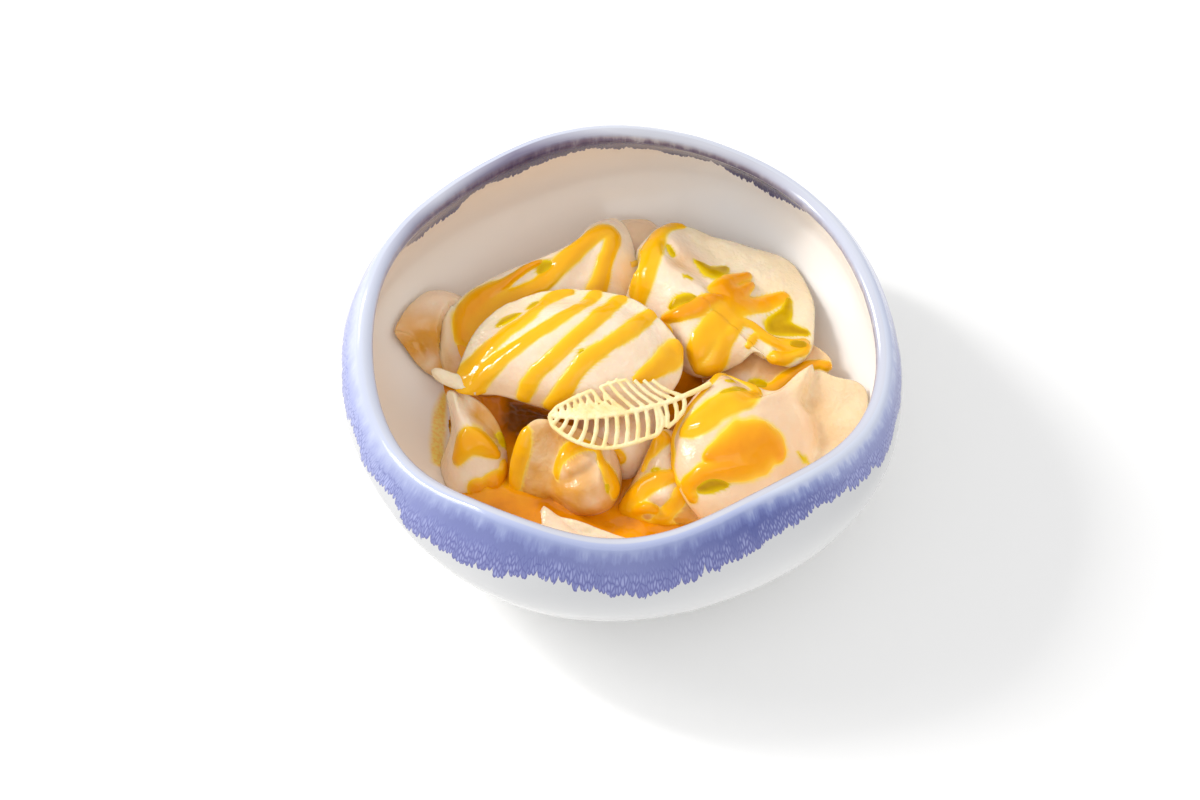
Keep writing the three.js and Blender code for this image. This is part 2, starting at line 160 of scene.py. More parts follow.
def between_rows(a, b, c, d, t):
    """A place t of the way from b to c on the Catmull-Rom curve through four rows."""
    cube = 3 * (b - c) + d - a
    return b + 0.5 * t * (c - a + t * (2 * a - 5 * b + 4 * c - d + t * cube))


def spline(points, step):
    """Points about a step apart on a smooth curve through a short list of rows."""
    rows = np.asarray(points, float)
    padded = np.vstack([2 * rows[0] - rows[1], rows, 2 * rows[-1] - rows[-2]])
    out = []
    for a, b, c, d in zip(padded, padded[1:], padded[2:], padded[3:]):
        count = max(2, int(np.linalg.norm((c - b)[:2]) / step))
        out += [between_rows(a, b, c, d, t) for t in np.arange(count) / count]
    out.append(rows[-1])
    return np.array(out)


def direction(path, i):
    """Which way a path runs at one of its points."""
    return path[min(i + 1, len(path) - 1)] - path[max(i - 1, 0)]


# ---- bowl

BELLY_RADIUS = 90
BELLY_HEIGHT = 37.8
RIM_HEIGHT = 59
LIP_CENTRE_RADIUS = 79.6
LIP_RADIUS = 3.4
WALL = 6
FOOT_RADIUS = 36
FLOOR_HEIGHT = 7
FLOOR_RADIUS = 30
CURVE_POWER = 1.46
CURVE_ROOT = 1.97
# waves round the bowl as (times round, amplitude, phase in degrees)
BELLY_WAVE = [(2, 0.020, 96), (3, 0.018, 172), (4, 0.020, -91)]
LIP_WAVE = [(2, 0.024, 38), (3, 0.012, -157), (4, 0.017, -92), (5, 0.014, -93)]
RIM_WAVE = [(1, 2.8, 65), (2, 4.4, -107), (3, 1.8, 48), (4, 1.3, -14), (5, 2.9, 112), (6, 0.75, -8)]
BOWL_AROUND = 360
LOWER_STEPS, UPPER_STEPS, LIP_STEPS = 25, 14, 17
# rings where the lip joins the outer and the inner wall, and rounds of smoothing there
LIP_JOINTS = (LOWER_STEPS + UPPER_STEPS, LOWER_STEPS + UPPER_STEPS + LIP_STEPS - 1)
LIP_EASING = 12
EASED_RINGS = 3  # on either side of a joint
STEP_EASING = 1.6  # rings stand closer near the foot
HIDDEN_BELOW = 60  # mm below the crest that count for the middle of the foot and the floor
CREST_SHARE = 0.998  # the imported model's crest is made of flats, so it lies a little lower
ARC_RADIUS = 85  # of the lip, for patterns that run round it
SWAG, SWAG_SIZE, SWAG_SEED = 1.6, 5, 3  # how far and how wide waves of the glaze's edge hang down
# Dents of the hand-pressed wall, as height and size in mm and seed.
DENTS = [(0.22, 16, 1), (0.10, 6, 2)]
DENTS_FULL_FROM = 8  # mm over the table
DENTS_INSIDE = 0.4  # share of their depth
POOL_LEVEL = 15
# How far the blue glaze has run down below the lip's crest, as (angle in degrees, mm).
GLAZE_OUTSIDE = [
    (-170, 14.5), (-154, 10.4), (-144, 9.9), (-138, 14.4), (-128, 15.4), (-118, 16.8), (-112, 13.6),
    (-104, 12.4), (-93, 15.2), (-84, 15), (-76, 13), (-65, 13.8), (-56, 12.7), (-46, 11.4), (-35, 13.5),
    (-19, 14.2), (20, 13), (60, 11), (100, 12.5), (140, 12), (160, 15), (180, 16),
]
GLAZE_INSIDE = [
    (-172, 3), (-160, 5), (-90, 5), (-20, 5), (5, 3), (35, 3), (42, 10), (46, 15.5), (51, 18.8), (60, 19.7),
    (65, 18.4), (70, 15), (77, 15), (87, 13.4), (96, 12.4), (103, 10.4), (115, 12), (121, 12.2), (126, 8.6),
    (131, 8.8), (134, 15), (142, 17.5), (148, 16), (156, 8), (166, 3.6),
]
# How deep the blue stands, 0 pale to 1 deep, by angle.
GLAZE_DEPTH = [
    (-170, 0.1), (-155, 0.32), (-142, 0.56), (-128, 0.75), (-110, 0.8), (-90, 0.7), (-76, 0.85), (-62, 1),
    (-48, 0.9), (-35, 0.62), (-20, 0.6), (0, 0.55), (12, 0.4), (32, 0.35), (48, 0.7), (60, 0.95), (120, 1),
    (148, 0.85), (162, 0.4), (175, 0.05),
]
# How many mm earlier the lip deepens on its inner side at the back, partly the glaze's own run and partly
# painted shade under the back lip; all round, its outer side takes half.
GLAZE_EARLY_AND_SHADE = [
    (-180, 0), (-150, 1), (-128, 1.8), (-92, 2.4), (-66, 1.8), (-52, -0.6), (-30, -1.2), (-15, -0.2),
    (0, 0), (20, 0), (60, 0.2), (88, -0.7), (104, 0.8), (118, 1.8), (128, 1.2), (140, 0.4), (150, 1.2),
    (168, 0.5),
]
# Painted warm shade on the white inside, standing for the shade under the lip and orange light bounced off
# the food: how strong by angle, and mm below the crest over which that fades.
PAINTED_WARM_SHADE_FADE = 55
PAINTED_WARM_SHADE = [
    (-180, 1.3), (-145, 1.2), (-90, 0.3), (0, 0.05), (65, 0.05), (85, 0.7), (110, 1), (140, 0.9),
    (165, 0.7),
]


def wave(terms, theta):
    return sum(size * np.cos(k * theta - phase * RAD) for k, size, phase in terms)


def belly_factor(theta):
    return 1 + wave(BELLY_WAVE, theta)


def lip_factor(theta):
    return 1 + wave(LIP_WAVE, theta)


def rim_height(theta):
    return RIM_HEIGHT + wave(RIM_WAVE, theta)


def lower_wall(start, end, t):
    return start + (end - start) * (1 - (1 - t) ** CURVE_POWER) ** (1 / CURVE_ROOT)


def outer_lower(t, theta):
    return lower_wall(FOOT_RADIUS, BELLY_RADIUS, t) * belly_factor(theta), BELLY_HEIGHT * t + 0 * theta


def upper_wall(belly_radius, lip_radius, t, theta):
    factor = belly_factor(theta) + (lip_factor(theta) - belly_factor(theta)) * t * t
    radius = (belly_radius + (lip_radius - belly_radius) * t * t) * factor
    return radius, BELLY_HEIGHT + (rim_height(theta) - BELLY_HEIGHT) * t


def lip_arc(angle, theta):
    radius = (LIP_CENTRE_RADIUS + LIP_RADIUS * math.cos(angle)) * lip_factor(theta)
    return radius, rim_height(theta) + LIP_RADIUS * math.sin(angle)


def inner_lower(t, theta):
    radius = lower_wall(FLOOR_RADIUS, BELLY_RADIUS - WALL, t) * belly_factor(theta)
    return radius, FLOOR_HEIGHT + (BELLY_HEIGHT - FLOOR_HEIGHT) * t + 0 * theta


def inner_radius(theta, z):
    """The radius of the bowl's inner wall at a height."""
    low = np.clip((z - FLOOR_HEIGHT) / (BELLY_HEIGHT - FLOOR_HEIGHT), 0, 1)
    high = np.clip((z - BELLY_HEIGHT) / (rim_height(theta) - BELLY_HEIGHT), 0, 1)
    lower = inner_lower(low, theta)[0]
    upper = upper_wall(BELLY_RADIUS - WALL, LIP_CENTRE_RADIUS - LIP_RADIUS, high, theta)[0]
    return np.where(z < BELLY_HEIGHT, lower, upper)


def round_table(table, theta):
    """A value from a list of (angle, value), read all the way round."""
    angles = [angle for angle, value in table]
    values = [value for angle, value in table]
    return np.interp(theta / RAD, angles, values, period=360)


def ease_joints(rings):
    """Runs the lip smoothly into the wall on both sides."""
    for _ in range(LIP_EASING):
        for joint in LIP_JOINTS:
            first, last = joint - EASED_RINGS, joint + EASED_RINGS + 1
            beside = (rings[first - 1:last - 1] + rings[first + 1:last + 1]) / 2
            rings[first:last] += 0.5 * (beside - rings[first:last])


def press_dents(points, inside):
    """The wall was pressed out by hand, so its radius wanders a little, always inwards."""
    radius = np.hypot(points[:, 0], points[:, 1])
    dent = unevenness(points, DENTS) + sum(height for height, *_ in DENTS)
    share = np.clip(points[:, 2] / DENTS_FULL_FROM, 0, 1) * np.where(inside == 1, DENTS_INSIDE, 1)
    points[:, :2] *= (1 - dent * share / np.maximum(radius, 1))[:, None]


def make_bowl():
    theta = np.arange(BOWL_AROUND) / BOWL_AROUND * 2 * math.pi
    eased = (np.arange(LOWER_STEPS) / (LOWER_STEPS - 1)) ** STEP_EASING
    even = np.arange(1, UPPER_STEPS + 1) / (UPPER_STEPS + 1)
    outer_top = (BELLY_RADIUS, LIP_CENTRE_RADIUS + LIP_RADIUS)
    inner_top = (BELLY_RADIUS - WALL, LIP_CENTRE_RADIUS - LIP_RADIUS)
    # rings from the foot over the lip to the floor, each with 0 for outside or 1 for inside
    stations = [(outer_lower(t, theta), 0) for t in eased]
    stations += [(upper_wall(*outer_top, t, theta), 0) for t in even]
    stations += [(lip_arc(a, theta), int(a >= math.pi / 2)) for a in np.linspace(0, math.pi, LIP_STEPS)]
    stations += [(upper_wall(*inner_top, t, theta), 1) for t in even[::-1]]
    stations += [(inner_lower(t, theta), 1) for t in eased[:0:-1]]
    across, back = np.cos(theta), np.sin(theta)
    crest = rim_height(theta) + LIP_RADIUS
    lip_line = np.stack([ARC_RADIUS * across, ARC_RADIUS * back, 0 * theta], 1)
    swags = SWAG * lumps(lip_line, SWAG_SIZE, SWAG_SEED)
    runs = (round_table(GLAZE_OUTSIDE, theta) + swags, round_table(GLAZE_INSIDE, theta) + swags / 2)
    # columns: place, side, mm below the crest, the glaze's run there, angle
    rows = [[(0, 0, 0, 0, HIDDEN_BELOW, 0, 0)]]
    for (radius, height), side in stations:
        place = (radius * across, radius * back, height)
        rows.append(np.stack([*place, side + 0 * theta, crest - height, runs[side], theta], 1))
    rows.append([(0, 0, FLOOR_HEIGHT, 1, HIDDEN_BELOW, 0, 0)])
    rows = np.vstack(rows)
    points = rows[:, :3].copy()
    inside, below, run, around = rows[:, 3:].T
    ease_joints(points[1:-1].reshape(len(stations), BOWL_AROUND, 3))
    press_dents(points, inside)
    points[:, 2] *= CREST_SHARE
    values = {
        "inside": inside, "below": below, "run": run, "deep": round_table(GLAZE_DEPTH, around),
        # the inner lip at the back deepens sooner, partly as painted shade
        "early_and_shade": round_table(GLAZE_EARLY_AND_SHADE, around) * np.where(inside, np.sin(around) > 0, 0.5),
        # painted warm shade on the white inside, strongest under the lip
        "painted_warm_shade": round_table(PAINTED_WARM_SHADE, around) * np.clip(1.1 - below / PAINTED_WARM_SHADE_FADE, 0.2, 1),
    }
    faces = capped_rings(len(stations), BOWL_AROUND)
    bowl = link_mesh("glazed_bowl", points, faces, values)
    finish_piece(bowl, glaze_material(), "porcelain", "bowl")
    return points, faces, bowl


# ---- dumplings

DOUGH = 3
SEALED_AT = 4
EDGE_SHARE = 0.15
EDGE_EASING = 1.2  # rings of points stand closer near the edge
BELLY_POWER, SKIRT_POWER = 0.55, 1.1  # how the dough falls off to a plain edge and to a skirt
THINNING = 4  # mm of skirt over which the dough gets thin
SPACING = 0.6  # between points of the dough
EDGE_RINGS = 6  # rings at the edge that are smoothed less and less
RELAXING = 40  # rounds of smoothing before the folds
SETTLING = 4  # and after them
# Lumps of the dough, as height and size in mm and what the dumpling's seed is raised by.
DOUGH_LUMPS = [(0.55, 13, 0), (0.22, 5, 40)]
SKIRT_LUMPS = [(0.9, 9, 80), (0.35, 3.5, 90)]
# The lower the dough lies under the first height, the more sauce it has soaked up and the more painted
# shade it gets: it gains 1 over the second number of mm, but no more than the third by that alone.
DRY_AND_LIT_ABOVE, SOAKING_AND_SHADING, MOST_SOAKED_AND_SHADED = 30, 16, 0.6
FOLD_END = 0.45  # share of its width that a fold has at its ends
STEP_WIDTH = 3  # pixels over which a one-sided fold fades in
ABOVE_ALL = 200  # a height from which to look down on the food
WALL_GAP = 0.5  # between the dough and the bowl's wall

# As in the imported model: rim points (x, y, z, skirt), clockwise from above.
DUMPLINGS = {
    "dumpling_top": dict(
        belly=(-18, 9, 38), crown=11, keel=9,
        rim=[(-54, -4, 35, 4), (-49, 15, 38, 4), (-36, 27, 41, 5), (-16, 30, 43, 5), (5, 24, 43, 4),
             (18, 9, 39, 3), (15, -5, 35, 1), (0, -13, 33, 0), (-21, -11, 33, 0), (-40, -6, 34, 1)]),
    "dumpling_back_left": dict(
        belly=(-11, 47, 33), crown=9, keel=15,
        rim=[(-60, 27, 28, 4), (-50, 38, 33, 2), (-31, 46, 36, 2), (-18, 52, 38, 1), (-11, 61, 38, 1),
             (-2, 64, 37, 2), (3, 55, 35, 2), (4, 40, 29, 2), (-11, 26, 24, 0), (-34, 20, 22, 0),
             (-57, 12, 20, 3)]),
    "dumpling_back_right": dict(
        belly=(14, 33, 34), crown=9, keel=14,
        rim=[(15, 63, 37, 2), (27, 61, 33, 8), (42, 58, 30, 16), (56, 53, 28, 20), (62, 38, 28, 20),
             (62, 25, 31, 18), (60, 12, 32, 14), (54, 7, 32, 11), (48, 8, 33, 8), (42, 10, 36, 5),
             (36, 8, 31, 1), (24, 5, 31, 0), (15, 15, 28, 0), (5, 28, 29, 0), (-1, 39, 33, 0),
             (5, 53, 37, 1)]),
    "dumpling_right": dict(
        belly=(35, -20, 31), crown=11, keel=14,
        rim=[(25, -1, 32, 0), (31, 3, 33, 1), (40, -1, 33, 3), (49, -3, 33, 6), (59, 4, 35, 12),
             (67, 2, 34, 18), (77, -1, 31, 22), (76, -14, 29, 16), (65, -29, 26, 8), (45, -44, 24, 3),
             (28, -47, 22, 0), (20, -42, 25, 0), (15, -31, 28, 0), (16, -16, 31, 0)]),
    "dumpling_left": dict(
        belly=(-49, -19, 22), up=(-0.2, -0.7, 0.65), crown=7, keel=8,
        rim=[(-57, -4, 33, 5), (-51, -6, 34, 4), (-44, -10, 31, 2), (-39, -17, 25, 0), (-38, -24, 18, 0),
             (-43, -30, 13, 0), (-55, -31, 12, 0), (-60, -22, 14, 1), (-56, -12, 23, 2)]),
    "dumpling_front": dict(
        belly=(-12, -30, 22), up=(0, -0.75, 0.65), crown=8, keel=8,
        rim=[(-29, -17, 36, 12), (-16, -17, 32, 8), (-5, -20, 27, 0), (-1, -28, 20, 0), (-4, -36, 15, 0),
             (-14, -38, 13, 0), (-24, -34, 14, 2), (-36, -32, 15, 8), (-36, -24, 27, 14)]),
    "dumpling_front_right": dict(
        belly=(11, -30, 21), up=(0.1, -0.6, 0.8), crown=7, keel=8,
        rim=[(11, -17, 30, 2), (19, -16, 25, 0), (33, -23, 19, 0), (36, -35, 16, 0), (26, -43, 14, 0),
             (11, -43, 13, 0), (3, -41, 14, 0), (-2, -36, 15, 0), (4, -27, 22, 0)]),
    "dumpling_far_left": dict(
        belly=(-58, 24, 23), crown=8, keel=8,
        rim=[(-75, 24, 30, 3), (-68, 37, 30, 2), (-60, 39, 31, 1), (-48, 38, 24, 1), (-36, 28, 18, 0),
             (-34, 12, 16, 0), (-46, 7, 16, 0), (-58, 12, 17, 3), (-66, 15, 19, 4), (-72, 20, 25, 5)]),
    "dumpling_back": dict(
        belly=(4, 56, 22), crown=8, keel=9,
        rim=[(-4, 68, 29, 1), (4, 70, 30, 2), (11, 68, 29, 1), (18, 57, 24, 0), (19, 42, 18, 0),
             (10, 28, 16, 0), (-4, 26, 16, 0), (-12, 38, 17, 0), (-9, 57, 23, 0)]),
    "dumpling_under_right": dict(
        belly=(46, 13, 21), crown=7, keel=9,
        rim=[(25, 10, 21, 0), (30, 28, 19, 0), (42, 41, 19, 0), (56, 34, 22, 2), (61, 20, 28, 3),
             (67, 10, 30, 4), (61, 2, 27, 3), (50, -6, 21, 0), (34, -6, 19, 0)]),
    "dumpling_middle": dict(
        belly=(0, -9, 20), crown=8, keel=8,
        rim=[(-9, -22, 16, 0), (-15, -11, 17, 0), (-17, 5, 19, 2), (-9, 18, 20, 3), (8, 18, 20, 2),
             (14, 4, 20, 0), (12, -10, 19, 0), (6, -22, 18, 0), (0, -26, 16, 0)]),
    "dumpling_front_edge": dict(
        belly=(-14, -51, 15), crown=4, keel=5,
        rim=[(-26, -38, 18, 5), (-20, -42, 18.5, 6), (-13, -45, 19, 6), (-4, -48.5, 18.5, 5),
             (6, -53, 17, 3), (-5, -63, 19, 0), (-20, -57, 19, 0), (-27, -44, 17, 2)]),
}

# Where skirts and a flap begin, as pixels: each has a step up on one hand and down on the other.
RIGHT_SKIRT = [(812, 366), (807, 388), (803, 404), (812, 418), (815, 430), (815, 443), (811, 458)]
LEFT_SKIRT = [(458, 398), (464, 411), (479, 429), (496, 446)]
FLAP = [(768, 342), (776, 347), (790, 349), (807, 348)]

# Folds of the dough: pixels along the fold, its width and its height in mm. A fold with a side only lifts
# or sinks what lies on its right hand (1) or left hand (-1), seen along the fold, and so leaves a step.
FOLDS = {
    "dumpling_top": [
        ([(684, 352), (678, 352)], 1.6, 0.9),
        ([(685, 362), (678, 362)], 1.5, 0.8),
        ([(680, 343), (674, 345)], 1.5, 0.7),
    ],
    "dumpling_back_left": [
        ([(594, 243), (588, 258), (580, 276)], 3.4, -0.8),
        ([(566, 262), (560, 280), (545, 296)], 3, 0.6),
        ([(500, 290), (530, 278), (556, 262)], 2.6, -0.6),
        ([(446, 302), (446, 325), (450, 348), (458, 366)], 1.8, 1.3),
        ([(453, 303), (454, 325), (458, 345), (465, 358)], 1.8, -0.9),
    ],
    "dumpling_back_right": [
        ([(667, 243), (676, 258), (692, 268), (704, 280), (714, 292)], 4.2, -2),
        ([(664, 256), (674, 268), (692, 276), (704, 290)], 3, 1),
        ([(716, 294), (730, 300), (755, 305), (780, 300)], 4.6, -1),
        ([(715, 240), (740, 250), (770, 262)], 3, 0.7),
        ([(745, 262), (775, 285), (790, 300)], 4, 0.7),
        ([(690, 300), (665, 315)], 2.5, -0.8),
        ([(745, 317), (765, 316)], 2.2, 0.6),
        ([(750, 326), (762, 339), (775, 358)], 3, 1.8, -1),
        (FLAP, 3, 1.5, -1),
        (FLAP, 2.2, -1.2, 1),
        ([(778, 362), (796, 357), (810, 350)], 2, 1.4),
        ([(765, 330), (785, 332), (805, 334)], 2.4, -1.2),
        ([(722, 334), (712, 350), (704, 368)], 2, 0.5),
        ([(742, 327), (737, 345), (734, 362)], 3.4, 0.7),
    ],
    "dumpling_right": [
        (RIGHT_SKIRT, 4.5, 2.2, 1),
        (RIGHT_SKIRT, 6, -2, -1),
        ([(759, 402), (770, 399), (790, 393), (800, 384)], 2.6, 0.8),
        ([(762, 412), (780, 426), (794, 440), (800, 452)], 3, -0.7),
        ([(757, 408), (748, 408)], 1.8, -0.8),
        ([(722, 380), (704, 396), (692, 410), (682, 424)], 1.5, 0.8),
        ([(700, 487), (713, 484), (727, 482)], 2.6, -1.6),
        ([(748, 475), (760, 471), (775, 468)], 2.6, 1.2),
        ([(684, 442), (698, 452), (704, 462)], 3, -0.6),
    ],
    "dumpling_left": [
        (LEFT_SKIRT, 4, 2, 1),
        (LEFT_SKIRT, 7.5, -4.5, -1),
        ([(452, 466), (470, 470), (492, 462)], 2.6, -0.6),
        ([(501, 484), (502, 487)], 2.2, 2),
    ],
    "dumpling_front": [
        ([(532, 424), (527, 445), (524, 470), (520, 490)], 2.6, 0.6),
        ([(549, 434), (553, 452), (552, 474), (551, 500)], 3.2, -1.8),
        ([(560, 477), (576, 469), (590, 461), (597, 451)], 3.2, 2.8, -1),
        ([(563, 482), (578, 475), (592, 466), (599, 457)], 1.8, -1.6),
        ([(599, 450), (601, 465), (602, 482)], 2.8, 1.7, 1),
        ([(574, 490), (580, 492)], 9, 1.6),
    ],
    "dumpling_front_right": [
        ([(660, 496), (668, 494)], 2.8, 1.9),
        ([(646, 507), (650, 514)], 2.4, 1.7),
        ([(678, 512), (681, 518)], 2.4, 1.6),
        ([(655, 503), (662, 508), (668, 512)], 1.6, -1.2),
    ],
    "dumpling_far_left": [
        ([(398, 332), (408, 335), (418, 341), (424, 357)], 3, 1.3, 1),
        ([(400, 331), (410, 334), (420, 340), (427, 356)], 2.6, -0.8, -1),
        ([(436, 300), (432, 325), (436, 355)], 5, -1.6),
    ],
    "dumpling_middle": [([(622, 450), (634, 462), (636, 480)], 2.6, -0.6)],
    "dumpling_under_right": [
        ([(764, 347), (762, 362), (757, 377)], 3.5, 1.3, 1),
        ([(778, 352), (776, 366), (770, 380)], 2, -0.8),
    ],
    "dumpling_front_edge": [([(545, 503), (556, 512), (575, 520), (600, 524), (616, 534)], 1.5, 0.9)],
}

# How much more or less soaking and painted shade a whole dumpling has than its height says.
SOAKED_AND_SHADE = {
    "dumpling_far_left": 0.65, "dumpling_back": 0.3, "dumpling_under_right": 0.5, "dumpling_middle": -0.5,
    "dumpling_left": -0.45, "dumpling_right": 0.24, "dumpling_front": 0.45, "dumpling_front_right": 0.35,
    "dumpling_front_edge": -0.8,
}
# Places that have more or less soaking and painted shade than the rest of their dumpling: a pixel, reach in
# mm, how much.
SOAKED_AND_SHADE_AT = {
    "dumpling_top": [(495, 396, 6, 0.2), (535, 402, 7, 0.5), (478, 398, 5, 0.25)],
    "dumpling_back_left": [(447, 325, 5, 0.2), (455, 360, 5, 0.25), (590, 255, 5, 0.1)],
    "dumpling_back_right": [
        (690, 262, 6, 0.55), (676, 262, 4, 0.3), (735, 350, 4, 0.3), (735, 370, 4, 0.3),
    ],
    "dumpling_right": [(812, 400, 5, 0.35), (822, 430, 7, 0.3), (785, 470, 5, 0.2), (700, 410, 3, 0.1)],
    "dumpling_left": [(484, 412, 4.5, 1.6), (498, 430, 5.5, 1.6), (477, 405, 3.5, 1.2)],
    "dumpling_front": [(545, 458, 9, 1.1), (545, 488, 7, 0.4), (612, 500, 6, 0.3), (585, 495, 8, 0.35)],
    "dumpling_front_right": [
        (625, 515, 8, 0.6), (664, 493, 4, -0.9), (655, 520, 8, 0.5), (658, 458, 5, -0.2),
    ],
    "dumpling_far_left": [(430, 335, 7, 0.4), (412, 300, 7, -0.5), (440, 296, 7, -0.6)],
    "dumpling_middle": [(612, 458, 5, 0.6)],
    "dumpling_under_right": [(748, 365, 6, 0.2), (745, 380, 3, -0.5), (790, 372, 5, 0.3)],
}


def loop_at(points, share):
    """Rows at shares of the way round a closed list, on a smooth curve."""
    rows = np.asarray(points, float)
    place = share * len(rows)
    first = np.floor(place).astype(int)
    t = (place - first)[:, None]
    return between_rows(*(rows[(first + step) % len(rows)] for step in (-1, 0, 1, 2)), t)


def square_rings(count):
    """A square grid seen as rings round its middle: each place's ring, and its share of the way round."""
    span = np.arange(-count, count + 1)
    i, j = np.meshgrid(span, span, indexing="ij")
    ring = np.maximum(abs(i), abs(j))
    right, top, left = (i == ring) & (j < ring), (j == ring) & (i > -ring), (i == -ring) & (j > -ring)
    place = np.select([right, top, left], [j + ring, 3 * ring - i, 5 * ring - j], 7 * ring + i)
    return ring, place / np.maximum(1, 8 * ring)


def relax(grid, free, rounds):
    """Rounds off a grid of points where free is above 0."""
    for _ in range(rounds):
        beside = grid[2:, 1:-1] + grid[:-2, 1:-1] + grid[1:-1, 2:] + grid[1:-1, :-2]
        grid[1:-1, 1:-1] += free[1:-1, 1:-1, None] * (beside / 4 - grid[1:-1, 1:-1])


def up_of(spec):
    """The direction that a dumpling's crown points in."""
    up = np.array(spec.get("up", (0, 0, 1)), float)
    return up / np.linalg.norm(up)


def dough_grid(spec):
    """Points and faces of a dumpling, how far out in its skirt each point lies, and how free it is."""
    belly = np.array(spec["belly"], float)
    outline = loop_at(spec["rim"], np.linspace(0, 1, 400, endpoint=False))
    length = np.linalg.norm(np.diff(outline[:, :3], axis=0), axis=1).sum()
    # a ring has 8 points more than the one inside it
    count = int(length / SPACING / 8)
    ring, share = square_rings(count)
    size = ring.shape
    row = loop_at(spec["rim"], share.ravel())
    rim, skirt = row[:, :3], np.maximum(0, row[:, 3])
    reach = np.linalg.norm(rim - belly, axis=1)
    t = 1 - (1 - ring.ravel() / count) ** EDGE_EASING
    belly_share = 1 - skirt / reach
    power = BELLY_POWER + (SKIRT_POWER - BELLY_POWER) * np.clip(skirt / SEALED_AT, 0, 1)
    swell = np.maximum(0, 1 - (t / belly_share) ** 2) ** power
    edge = np.sqrt(1 - np.clip((t - 1 + EDGE_SHARE) / EDGE_SHARE, 0, 1) ** 2)
    flat = belly + (rim - belly) * t[:, None]
    free = 0.5 * np.clip((count - ring) / EDGE_RINGS, 0, 1)
    sheets = []
    for height in (spec["crown"], -spec["keel"]):
        rise = height * swell + math.copysign(DOUGH / 2, height) * edge
        sheet = (flat + rise[:, None] * up_of(spec)).reshape(*size, 3)
        relax(sheet, free, RELAXING)
        sheets.append(sheet.reshape(-1, 3))
    thin = np.clip((t - belly_share) * reach / THINNING + 0.4, 0, 1) * np.clip(skirt / THINNING, 0, 1)
    # both sheets meet in the points of the outermost ring
    index = np.arange(ring.size).reshape(size)
    lower = index.copy()
    inner = ring < count
    lower[inner] = ring.size + np.arange(inner.sum())
    points = np.vstack([sheets[0], sheets[1][inner.ravel()]])
    thin = np.concatenate([thin, thin[inner.ravel()]])
    corners = lambda grid: (grid[:-1, :-1], grid[1:, :-1], grid[1:, 1:], grid[:-1, 1:])
    faces = [tuple(map(int, f))[::-1] for f in zip(*(c.ravel() for c in corners(index)))]
    faces += [tuple(map(int, f)) for f in zip(*(c.ravel() for c in corners(lower)))]
    return points, faces, thin, free


def pick(tree, x, y, height):
    """The point that a pixel shows on a mesh, or the mesh's nearest to it at about that height."""
    ray = pixel_ray(x, y)
    found = tree.ray_cast(Vector(CAMERA), Vector(ray))[0]
    if found is None:
        beside = CAMERA + ray * (height - CAMERA[2]) / ray[2]
        found = tree.find_nearest(Vector(beside))[0]
    return np.array(found)


def pick_path(tree, pixels, height, step=0.6):
    """A dense path over a mesh through the places that a few pixels show; further columns ride along."""
    rows = [list(pick(tree, p[0], p[1], height)) + list(p[2:]) for p in pixels]
    path = spline(rows, step)
    for row in path:
        row[:3] = tree.find_nearest(Vector(row[:3]))[0]
    return path


def nearness(points, path, widths):
    """For each point, its smallest distance to a path as a share of the width there."""
    best = np.full(len(points), 1e9)
    for centre, width in zip(path, widths):
        np.minimum(best, np.linalg.norm(points - centre, axis=1) / width, out=best)
    return best


def on_side(points, path, side):
    """1 for points on that hand of a path, as the camera sees them, 0 on the other."""
    flat, line = seen_at(points), seen_at(path)
    tangent = np.gradient(line, axis=0)
    tangent /= np.linalg.norm(tangent, axis=1)[:, None]
    nearest = np.array([np.argmin(((line - spot) ** 2).sum(1)) for spot in flat])
    offset = flat - line[nearest]
    across = tangent[nearest, 0] * offset[:, 1] - tangent[nearest, 1] * offset[:, 0]
    return smoothstep(0.5 + side * across / STEP_WIDTH)


def clear_of_upper(points, placed):
    """Keeps a lower dumpling from showing through those that lie on it."""
    for i, (x, y, z) in enumerate(points):
        hit = placed.ray_cast(Vector((x, y, ABOVE_ALL)), Vector((0, 0, -1)))[0]
        if hit is not None and z > hit.z:
            points[i, 2] = hit.z - DOUGH / 3


def clear_of_wall(points):
    theta = np.arctan2(points[:, 1], points[:, 0])
    radius = np.hypot(points[:, 0], points[:, 1])
    limit = inner_radius(theta, points[:, 2]) - WALL_GAP
    points[:, :2] *= np.minimum(1, limit / np.maximum(radius, 1e-6))[:, None]


def make_dumpling(name, seed, placed):
    spec = DUMPLINGS[name]
    points, faces, thin, free = dough_grid(spec)
    height = spec["belly"][2]
    tree = bvh_of(points, faces)
    rise = unevenness(points, DOUGH_LUMPS, seed) + thin * unevenness(points, SKIRT_LUMPS, seed)
    for pixels, width, size, *side in FOLDS.get(name, []):
        path = pick_path(tree, pixels, height)[:, :3]
        # a fold narrows over the first and the last quarter of its length
        ends = np.minimum(np.arange(len(path)), np.arange(len(path))[::-1]) / max(1, len(path) / 4)
        near = nearness(points, path, width * (FOLD_END + (1 - FOLD_END) * np.clip(ends, 0, 1)))
        share = on_side(points, path, side[0]) if side else 1
        rise += size * np.exp(-near ** 2) * share
    points = points + rise[:, None] * up_of(spec)
    upper = points[:free.size].reshape(*free.shape, 3)
    relax(upper, free, SETTLING)
    if placed is not None:
        clear_of_upper(points, placed)
    clear_of_wall(points)
    # soaking and painted shade both grow lower down, and in given places
    soaked_and_shade = np.clip((DRY_AND_LIT_ABOVE - points[:, 2]) / SOAKING_AND_SHADING, 0, MOST_SOAKED_AND_SHADED) + SOAKED_AND_SHADE.get(name, 0)
    for x, y, reach, more in SOAKED_AND_SHADE_AT.get(name, []):
        away = np.linalg.norm(points - pick(tree, x, y, height), axis=1)
        soaked_and_shade += more * np.exp(-(away / reach) ** 2)
    thing = link_mesh("dough_" + name, points, faces, {"thin": thin, "soaked_and_shade": np.clip(soaked_and_shade, 0, 1)})
    finish_piece(thing, DOUGH_MATERIAL, "dough", name)
    return thing, points, faces


# ---- sauce and oil

